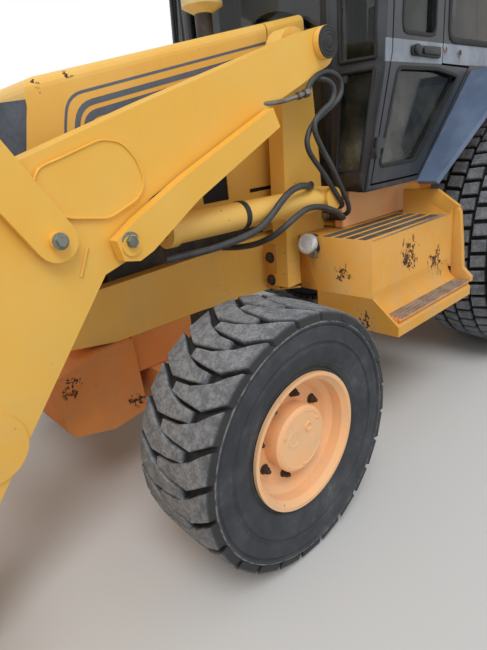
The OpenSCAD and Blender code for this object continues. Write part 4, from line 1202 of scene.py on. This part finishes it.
@dataclass(frozen=True)
class ArmTrim:
    """Pivot caps, bolts, weld beads and bands of the loader."""

    pivot: Flat = (1448.0, 1608.0)
    lever: Point = (2611.0, 652.0, 1102.0)
    strut: Point = (2412.0, 650.0, 1062.0)
    gusset: tuple[Flat, ...] = ((2631, 1244), (2609, 1282), (2545, 1300), (2424, 1337), (2365, 1326),
                                (2326, 1280), (2310, 1223), (2320, 1191), (2346, 1166), (2440, 1130),
                                (2560, 1150), (2640, 1200))

    def build(self, shop: Shop) -> None:
        """Builds the trim of both arms."""
        outward = Vector((0.0, 1.0, 0.0))
        cap = shop.piece("arm_pivot_caps", "black_trim")
        x, z = self.pivot
        rings = [(55, 0), (55, 5), (50, 6), (47, 4), (44, 6), (39, 7), (36, 5), (33, 8), (27, 9), (24, 7),
                 (20, 10), (0, 11)]
        cap.lathe(rings, pt(x, 626, z), outward, 48)
        cap.mirrored().place("machine", "black_paint", sharp=50.0)
        stamps = shop.stamps
        for name, spot, body, size in (("lever_bolts", self.lever, "levers", 1.3),
                                       ("strut_bolts", self.strut, "loader", 1.6)):
            stamps.set(name, stamps.bolt, both_sides(*spot), "grey_bolt", body, "hard_chrome", size)
        bead = shop.piece("gusset_welds", "yellow_arm")
        outline = filleted(self.gusset, 20.0, closed=True, steps=3)
        bead.tube(route([*outline, outline[0]], 606.5), 4.0, sides=6, steps=1)
        bead.tube(route([(2521, 1062), (2538, 1026), (2556, 988)], 601.0), 5.0, sides=8, steps=4)
        bead.mirrored().place("loader", "yellow_paint", sharp=60.0)
        band = shop.piece("barrel_bands", "black_trim")
        base, tip = pt(1395, 540, 1035), pt(2412, 540, 1050)
        along = (tip - base).normalized()
        band.lathe([(50.2, -12), (53, -11), (53, 11), (50.2, 12)], base + along * 0.490, along, 40, ring=True)
        band.mirrored().place("lift_cylinders", "black_paint", sharp=50.0)


@dataclass(frozen=True)
class Hoses:
    """Hoses and steel lines that feed the loader."""

    def build(self, shop: Shop) -> None:
        """Builds the hoses of both sides."""
        upper = route([(1556, 1442), (1537, 1469), (1505, 1493), (1459, 1509), (1413, 1512), (1368, 1499),
                       (1344, 1472), (1352, 1430), (1401, 1395), (1452, 1371), (1508, 1344), (1546, 1315),
                       (1567, 1277), (1561, 1242), (1536, 1208), (1488, 1160), (1446, 1116), (1411, 1074),
                       (1378, 609, 1034), (1347, 602, 1004), (1324, 572, 990), (1311, 520, 984),
                       (1307, 450, 982)], 606)
        lower = route([(1600, 556, 1530), (1540, 562, 1512), (1500, 580, 1498), (1468, 604, 1488),
                       (1446, 622, 1478), (1426, 1457), (1424, 1428), (1444, 1402), (1476, 1385),
                       (1513, 1364), (1544, 1339), (1546, 1304), (1523, 1263), (1492, 1222), (1453, 1174),
                       (1416, 1121), (1378, 1064), (1346, 1012), (1323, 618, 976), (1310, 588, 954),
                       (1306, 530, 946), (1305, 450, 944)], 629)
        self._bent(shop, "loop_hose_upper", "loader", upper, (-6, 1), 10.5, 3)
        self._bent(shop, "loop_hose_lower", "loader", lower, (-6, 1), 10.5, 3)
        line = shop.piece("steel_lines", "zinc_steel")
        path = route([(1549, 1443), (1607, 1430), (1684, 1416), (1752, 600, 1410), (1800, 586, 1412),
                      (1830, 570, 1420)], 606)
        line.tube(path, 8.0)
        for ring in ([(12, 0), (16, 1), (16, 26), (12, 27)], [(11, 42), (14, 43), (14, 62), (11, 63)]):
            line.lathe(ring, path[0], path[1] - path[0], 6)
        line.mirrored().place("loader", "hard_chrome", sharp=40.0)
        ends = shop.piece("hose_fittings", "zinc_steel")
        fitting = [(16, 0), (18, 1), (18, 22), (14, 24), (14, 40), (11, 40)]
        for foot in route([(1307, 982), (1305, 944)], 465.5):
            ends.lathe(fitting, foot, Vector((0.0, 1.0, 0.0)), 6)
        ends.mirrored().place("machine", "hard_chrome", sharp=40.0)
        self._ram_hoses(shop)

    def _bent(self, shop: Shop, name: str, body: str, path: Sequence[Vector], held: tuple[int, int],
              radius: float, steps: int) -> None:
        """Builds a hose on each side, laid between the machine and a moving body, that rides on neither.

        Args:
            shop: Finishes and stamps.
            name: Name of the hoses, without their side.
            body: The moving body.
            path: Points of the left hose, in metres.
            held: Points of the path that are passed on but not used.
            radius: Radius of the hose in millimetres.
            steps: Rings from one point to the next.
        """
        for side in Side:
            points = [across(point, side) for point in path]
            piece = shop.piece(f"{name}_{side.word}", "hose_rubber")
            piece.tube(points, radius, steps=steps)
            piece.bend("machine", body, points[held[0]], points[held[1]])

    def _ram_hoses(self, shop: Shop) -> None:
        """Builds the hoses that run along the lift barrels."""
        path = route([(2249, 560, 960), (2104, 570, 958), (1980, 590, 968), (1861, 600, 990),
                      (1790, 606, 1030), (1734, 608, 1072), (1680, 606, 1100), (1620, 600, 1112),
                      (1568, 590, 1108), (1520, 570, 1098), (1486, 548, 1104), (1452, 520, 1092),
                      (1426, 488, 1066), (1408, 466, 1030)])
        self._bent(shop, "barrel_hose", "lift_cylinders", path, (-1, -5), 13.0, 4)
        short = shop.piece("base_hoses", "hose_rubber")
        short.tube(route([(1800, 200, 880), (1796, 300, 884), (1790, 400, 892), (1776, 500, 912),
                          (1756, 574, 944), (1724, 612, 978), (1676, 622, 1004), (1620, 622, 1022),
                          (1574, 622, 1026), (1515, 620, 1018), (1459, 620, 1002), (1415, 620, 984),
                          (1379, 616, 962), (1340, 600, 946), (1304, 560, 936), (1276, 480, 930),
                          (1262, 380, 926), (1256, 280, 924), (1250, 180, 922)]), 12.0, steps=4)
        short.mirrored().place("machine", "trim_plastic", sharp=60.0)


@dataclass(frozen=True)
class StepTrim:
    """Grip strips, serrated tread, mounting flange and filler cap of the step boxes."""

    top: float = 888.0
    rear: float = 852.0
    front: float = 1474.0
    strips: tuple[float, ...] = (610.0, 668.0, 726.0, 784.0)
    rows: tuple[float, ...] = (892.0, 911.0, 930.0, 949.0)
    tread: float = 575.0

    def build(self, shop: Shop) -> None:
        """Builds the trim of both step boxes."""
        grip = shop.piece("step_grips", "grip_strip")
        for y in self.strips:
            grip.block((self.rear + 20, y - 19, self.top), (self.front, y + 19, self.top + 1.6))
        grip.mirrored().place("machine", "trim_plastic", bevel=0.8)
        edge = shop.piece("step_worn_edges", "worn_steel")
        worn = [(self.rear, 839.4), (self.rear, 770), (980, 812), (1240, 826), (1482, 836), (1482, 839.4)]
        edge.prism(worn, Axis.Z, self.top, self.top + 0.6)
        edge.mirrored().place("machine", "hard_chrome")
        cove = [(838, 690), (841, 655), (848, 628), (862, 603), (884, 584), (900, 576), (838, 574)]
        wall = shop.piece("step_coves", "yellow_step").prism(cove, Axis.X, 841, 1483)
        wall.mirrored().place("machine", "yellow_paint", sharp=50.0)
        self._ends(shop)
        self._tread(shop)
        self._flange(shop)
        self._filler(shop)

    def _ends(self, shop: Shop) -> None:
        """Cuts the upper corner of each box's rear plate and gives the plate its lower flange."""
        carved("step_boxes_cut", "step_boxes", shop.finishes["yellow_step"], 30.0,
               wedge([(770, 1002), (960, 1002), (960, 872)], Axis.X, 780, 841))
        outline = [(860, 576), (957, 576), (957, 600), (916, 640), (905, 760), (889, 900), (878, 920),
                   (860, 920)]
        plate = shop.piece("step_end_plates", "yellow_step").prism(outline, Axis.X, 814, 842)
        plate.mirrored().place("machine", "yellow_paint", bevel=1.5)

    def _tread(self, shop: Shop) -> None:
        """Builds the lower tread's bars and their teeth."""
        bars = shop.piece("tread_bars", "orange_cast")
        for y in self.rows:
            bars.block((self.rear, y - 6, self.tread - 1), (self.front - 4, y + 6, self.tread + 7))
        bars.mirrored().place("machine", "orange_paint", bevel=1.0)
        pitch = 13.0
        count = int((self.front - self.rear - 16) / pitch)
        up = Vector((0.0, 0.0, 1.0))
        places = [Place(pt(self.rear + 8 + i * pitch, side.value * (y + off), self.tread + 6.5), up)
                  for side in Side for y in self.rows for off in (-3.5, 3.5) for i in range(count)]
        shop.stamps.set("tread_teeth", shop.stamps.tooth, places, "worn_steel", "machine", "hard_chrome", 0.9)

    def _flange(self, shop: Shop) -> None:
        """Builds the bracket that bolts each box to the frame."""
        plate = shop.piece("step_flanges", "yellow_step")
        plate.block((1559.5, 328, 648), (1568, 402, 852))
        for z in (844, 648):
            plate.prism([(1486, 466), (1486, 456), (1559, 330), (1567, 330), (1567, 402)], Axis.Z, z, z + 8)
        plate.mirrored().place("machine", "yellow_paint", bevel=1.2)
        ahead = Vector((1, 0, 0))
        places = [Place(pt(1568, 364 * side.value, z), ahead) for side in Side for z in (692, 796)]
        shop.stamps.set("flange_bolts", shop.stamps.bolt, places, "rust_nut", "machine", "black_paint", 1.5)

    def _filler(self, shop: Shop) -> None:
        """Builds the filler neck, its cap and the padlock."""
        foot, lean = pt(1482, 540, 852), Vector((1.0, 0.15, 0.30)).normalized()
        neck = shop.piece("filler_neck", "black_trim")
        neck.lathe([(46, -6), (46, 6), (38, 10), (38, 32), (0, 32)], foot, lean)
        neck.place("machine", "black_paint", sharp=40.0)
        cap = shop.piece("filler_cap", "bright_cap")
        lid = [(42, 30), (44, 32), (44, 46), (41, 52), (30, 56), (29, 54), (15, 57), (0, 58)]
        cap.lathe(lid, foot, lean, 40)
        cap.place("machine", "hard_chrome", sharp=40.0)
        lock = shop.piece("padlock", "zinc_steel")
        lock.block((1512, 560, 806), (1530, 592, 836), cut=3.0)
        bow = ((566, 834), (566, 850), (576, 860), (586, 850), (586, 834))
        hasp = ((545, 852), (562, 854), (580, 846))
        for bar, radius in ((bow, 3.5), (hasp, 4.0)):
            lock.tube([pt(1521, y, z) for y, z in bar], radius, sides=8)
        lock.place("machine", "hard_chrome", bevel=1.0)


@dataclass(frozen=True)
class CabTrim:
    """Seals round the panes, latches of the doors, and the opened posts and tapered fenders."""

    face: float = 700.4
    upper: tuple[Flat, ...] = ((1047, 1650), (1015, 2400), (770, 2400), (770, 1650))
    lower: tuple[Flat, ...] = ((1218, 1142), (1078.6, 1520), (736.4, 1520), (529.2, 1490.8), (909.8, 1142))
    quarter: tuple[Flat, ...] = ((640, 1640), (640, 2470), (-540, 2470), (-570, 1640))
    screen: tuple[Flat, ...] = ((-440, 1180), (440, 1180), (440, 2490), (-440, 2490))
    back: tuple[Flat, ...] = ((-595, 1640), (595, 1640), (595, 2480), (-595, 2480))

    def build(self, shop: Shop) -> None:
        """Builds the cab's trim."""
        outward = Vector((0, 1, 0))
        face = self.face
        handle = filleted([(735, 1560), (985, 1566), (985, 1604), (735, 1606)], 14.0, closed=True)
        grip = filleted([(750, 1570), (900, 1572), (900, 1598), (750, 1598)], 10.0, closed=True)
        for side in Side:
            body = f"{side.word}_door"
            seal = shop.piece(f"door_seals_{side.word}", "black_seal")
            for outline, radius in ((self.upper, 45.0), (self.lower, 35.0)):
                path = filleted(outline, radius, closed=True)
                seal.strip(path, 15.0, Axis.Y, face - 2.0, face + 2.5, closed=True)
            seal.turned_to(side).place(body, "trim_plastic", bevel=1.2, sharp=50.0)
            latch = shop.piece(f"door_latch_{side.word}", "black_trim")
            latch.prism(handle, Axis.Y, face, face + 12)
            latch.prism(grip, Axis.Y, face + 12, face + 20)
            latch.lathe([(20, 0), (22, 3), (22, 22), (17, 27), (0, 28)], pt(955, face, 1586), outward, 28)
            latch.turned_to(side).place(body, "black_paint", bevel=2.0, sharp=50.0)
        self._corners(shop)
        self._fenders(shop)
        frames = (("quarter_seals", self.quarter, 60.0, Axis.Y, face - 3.0, face + 3.5),
                  ("windscreen_seal", self.screen, 40.0, Axis.X, 1228, 1233),
                  ("rear_window_seal", self.back, 40.0, Axis.X, -643, -638))
        for name, outline, radius, axis, near, far in frames:
            seal = shop.piece(name, "black_seal")
            seal.strip(filleted(outline, radius, closed=True), 26.0, axis, near, far, closed=True)
            if axis is Axis.Y:
                seal.mirrored()
            seal.place("machine", "trim_plastic", bevel=1.2, sharp=50.0)

    def _fenders(self, shop: Shop) -> None:
        """Tapers the fenders towards their front ends, so that the tyre shows beside them."""
        outline = [(960, 778), (590, 880), (390, 935), (150, 1072), (150, 1110), (960, 1110)]
        carved("fenders_tapered", "rear_fenders", shop.finishes["slate_fender"], 40.0,
               wedge(outline, Axis.Z, 1000, 1560))

    def _corners(self, shop: Shop) -> None:
        """Opens the lower corner panes to their full outline and seals all four corner panes."""
        low, mid, top = (1320.0, 1050.0), (1174.0, 1540.0), (1120.0, 2560.0)

        def on(lower: Flat, upper: Flat, s: float, t: float) -> Vector:
            """A point of a pane: s runs from the cab's side to the windscreen, t upwards."""
            foot = 1260.0 if lower is low else 1230.0
            side_x, z = (a + (b - a) * t for a, b in zip(lower, upper))
            return Vector((side_x, 692.0, z)).lerp(Vector((foot + (1230.0 - foot) * t, 480.0, z)), s)

        hole = [on(low, mid, s, t) for s, t in ((0.16, 0.16), (0.84, 0.16), (0.84, 0.96), (0.16, 0.96))]
        corners = [pt(x + off, y + off, z) for off in (-75.0, 30.0) for x, y, z in hole]
        carved("cab_posts_open", "cab_posts", shop.finishes["slate_cab"], 30.0, corners)
        seal = shop.piece("corner_seals", "black_seal")
        for lower, upper, t0, t1 in ((low, mid, 0.16, 0.96), (mid, top, 0.02, 0.95)):
            corners = [on(lower, upper, s, t) for s, t in ((0.16, t0), (0.84, t0), (0.84, t1), (0.16, t1))]
            for first, second in zip(corners, [*corners[1:], corners[0]]):
                seal.tube([pt(*first), pt(*second)], 9.0, sides=8, steps=1)
        seal.mirrored().place("machine", "trim_plastic", sharp=60.0)


@dataclass(frozen=True)
class DriverSeat:
    """The seat: two crowned cushions."""

    voxel: float = 0.009
    pressure: float = 4.0
    cap: float = 0.012
    frames: int = 20

    def build(self, shop: Shop) -> None:
        """Builds the cushions and pads them."""
        piece = shop.piece("driver_seat", "seat_cloth")
        piece.block((-78, -214, 1392), (388, 214, 1490), cut=26.0)
        back = [(-86, 1514), (2, 1514), (-70, 2036), (-140, 2036), (-152, 2020)]
        piece.prism(back, Axis.Y, -204, 204)
        made = piece.loose()
        self._pad(made)
        settled(made, "machine", 80.0)
        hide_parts("seat_cushion")
        LOG.info("padded %s", made.name)

    def _pad(self, made: bpy.types.Object) -> None:
        """Blows the cushions up a little, as stuffing does."""
        configured(made.modifiers.new("even", "REMESH"), mode="VOXEL", voxel_size=self.voxel)
        bake(made)
        rest = [vertex.co.copy() for vertex in made.data.vertices]
        cloth = made.modifiers.new("stuffing", "CLOTH")
        configured(cloth.settings, use_pressure=True, uniform_pressure_force=self.pressure)
        cloth.settings.effector_weights.gravity = 0.0
        scene = bpy.context.scene
        for step in range(1, self.frames + 1):
            scene.frame_set(step)
        bake(made)
        scene.frame_set(1)
        for vertex, start in zip(made.data.vertices, rest):
            way = vertex.co - start
            if way.length > self.cap:
                vertex.co = start + way.normalized() * self.cap
        configured(made.modifiers.new("fine", "SUBSURF"), levels=1, render_levels=1)
        bake(made)


@dataclass(frozen=True)
class HoeTrim:
    """Pins' caps and hoses of the backhoe."""

    boom_foot: Flat = (-1380.0, 560.0)
    boom_head: Flat = (-1180.0, 3080.0)

    def build(self, shop: Shop) -> None:
        """Builds the backhoe's trim."""
        stamps = shop.stamps
        spots = ((self.boom_foot, 135, "swing", 1.5), (self.boom_head, 125, "dipper_arm", 1.6))
        for (x, z), y, body, size in spots:
            places = both_sides(x, y, z)
            stamps.set(f"{body}_pin_bolts", stamps.bolt, places, "grey_bolt", body, "hard_chrome", size)
        foot, head = Vector(self.boom_foot), Vector(self.boom_head)
        along = (head - foot).normalized()
        back = Vector((-along.y, along.x))
        hose = shop.piece("boom_hoses", "hose_rubber")
        for y in (-30, 0, 30):
            path = [foot + along * reach + back * lift for reach, lift in
                    ((420, 104), (700, 112), (1300, 98), (1800, 110), (2200, 116))]
            hose.tube([pt(point.x, y, point.y) for point in path], 12.0, sides=10, steps=4)
        hose.place("boom_arm", "trim_plastic", sharp=60.0)


@dataclass(frozen=True)
class Studio:
    """The camera, the light and the floor."""

    spot: Point = (3107.455, 1883.791, 1298.178)
    heading: float = 3.98986
    dip: float = 0.36020
    roll: float = -0.09904
    lens: float = 27.016
    sky: float = 0.70
    sun: float = 1.35

    def build(self) -> None:
        """Builds the studio."""
        scene = bpy.context.scene
        scene.view_settings.view_transform = "Standard"
        self._camera(scene)
        self._sky(scene)
        lamp = bpy.data.lights.new("soft_sun", "SUN")
        made = added("soft_sun", configured(lamp, energy=self.sun, angle=math.radians(30)))
        made.rotation_euler = Vector((-0.35, -0.55, -1.0)).to_track_quat("-Z", "Y").to_euler()
        piece = Workpiece("floor", Ground().material())
        reach = 60000
        piece.prism([(-reach, -reach), (reach, -reach), (reach, reach), (-reach, reach)], Axis.Z, -40, -2)
        floor = piece.loose()

    def _camera(self, scene: bpy.types.Scene) -> None:
        """Sets the camera at the photograph's viewing angle."""
        data = bpy.data.cameras.new("photograph_view")
        configured(data, sensor_width=36.0, lens=self.lens, clip_start=0.05, clip_end=300.0)
        made = added("photograph_view", data)
        flat = math.cos(self.dip)
        ahead = Vector((math.cos(self.heading) * flat, math.sin(self.heading) * flat, -math.sin(self.dip)))
        level = ahead.cross(Vector((0.0, 0.0, 1.0))).normalized()
        upright = level.cross(ahead)
        c, s = math.cos(self.roll), math.sin(self.roll)
        right, up = level * c + upright * s, upright * c - level * s
        turn = Matrix((right, up, -ahead)).transposed().to_4x4()
        made.matrix_world = Matrix.Translation(pt(*self.spot)) @ turn
        scene.camera = made

    def _sky(self, scene: bpy.types.Scene) -> None:
        """Sets a plain soft sky that the camera, mirrors and glass see as white."""
        world = bpy.data.worlds.new("plain_sky")
        world.use_nodes = True
        world.node_tree.nodes.clear()
        node = partial(linked, world.node_tree)
        rays = node("ShaderNodeLightPath").outputs
        links = {0: rays["Is Camera Ray"], 1: rays["Is Glossy Ray"]}
        shown = node("ShaderNodeMath", links, operation="MAXIMUM")
        links = {0: shown.outputs[0], 1: rays["Is Transmission Ray"]}
        backs = {0: node("ShaderNodeMath", links, operation="MAXIMUM").outputs[0]}
        for place, colour, strength in ((1, (0.96, 0.98, 1.0), self.sky), (2, (1.0, 1.0, 1.0), 1.0)):
            back = node("ShaderNodeBackground")
            back.inputs["Color"].default_value = (*colour, 1.0)
            back.inputs["Strength"].default_value = strength
            backs[place] = back.outputs[0]
        node("ShaderNodeOutputWorld", {"Surface": node("ShaderNodeMixShader", backs).outputs[0]})
        scene.world = world


def main() -> None:
    """Dresses the machine piece by piece."""
    logging.basicConfig(level=logging.INFO, format="%(name)s: %(message)s")
    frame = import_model()
    Studio().build()
    finishes = Finishes()
    CadDress().build(frame["nodes"], finishes)
    shop = Shop(finishes, Stamps(finishes))
    for part in (front_wheel(), rear_wheel(), HoodTrim(), ArmTrim(), Hoses(), StepTrim(), CabTrim(),
                 DriverSeat(), HoeTrim()):
        part.build(shop)
        LOG.info("%s done", type(part).__name__)
    shop.stamps.clear()


if __name__ == "__main__":
    main()
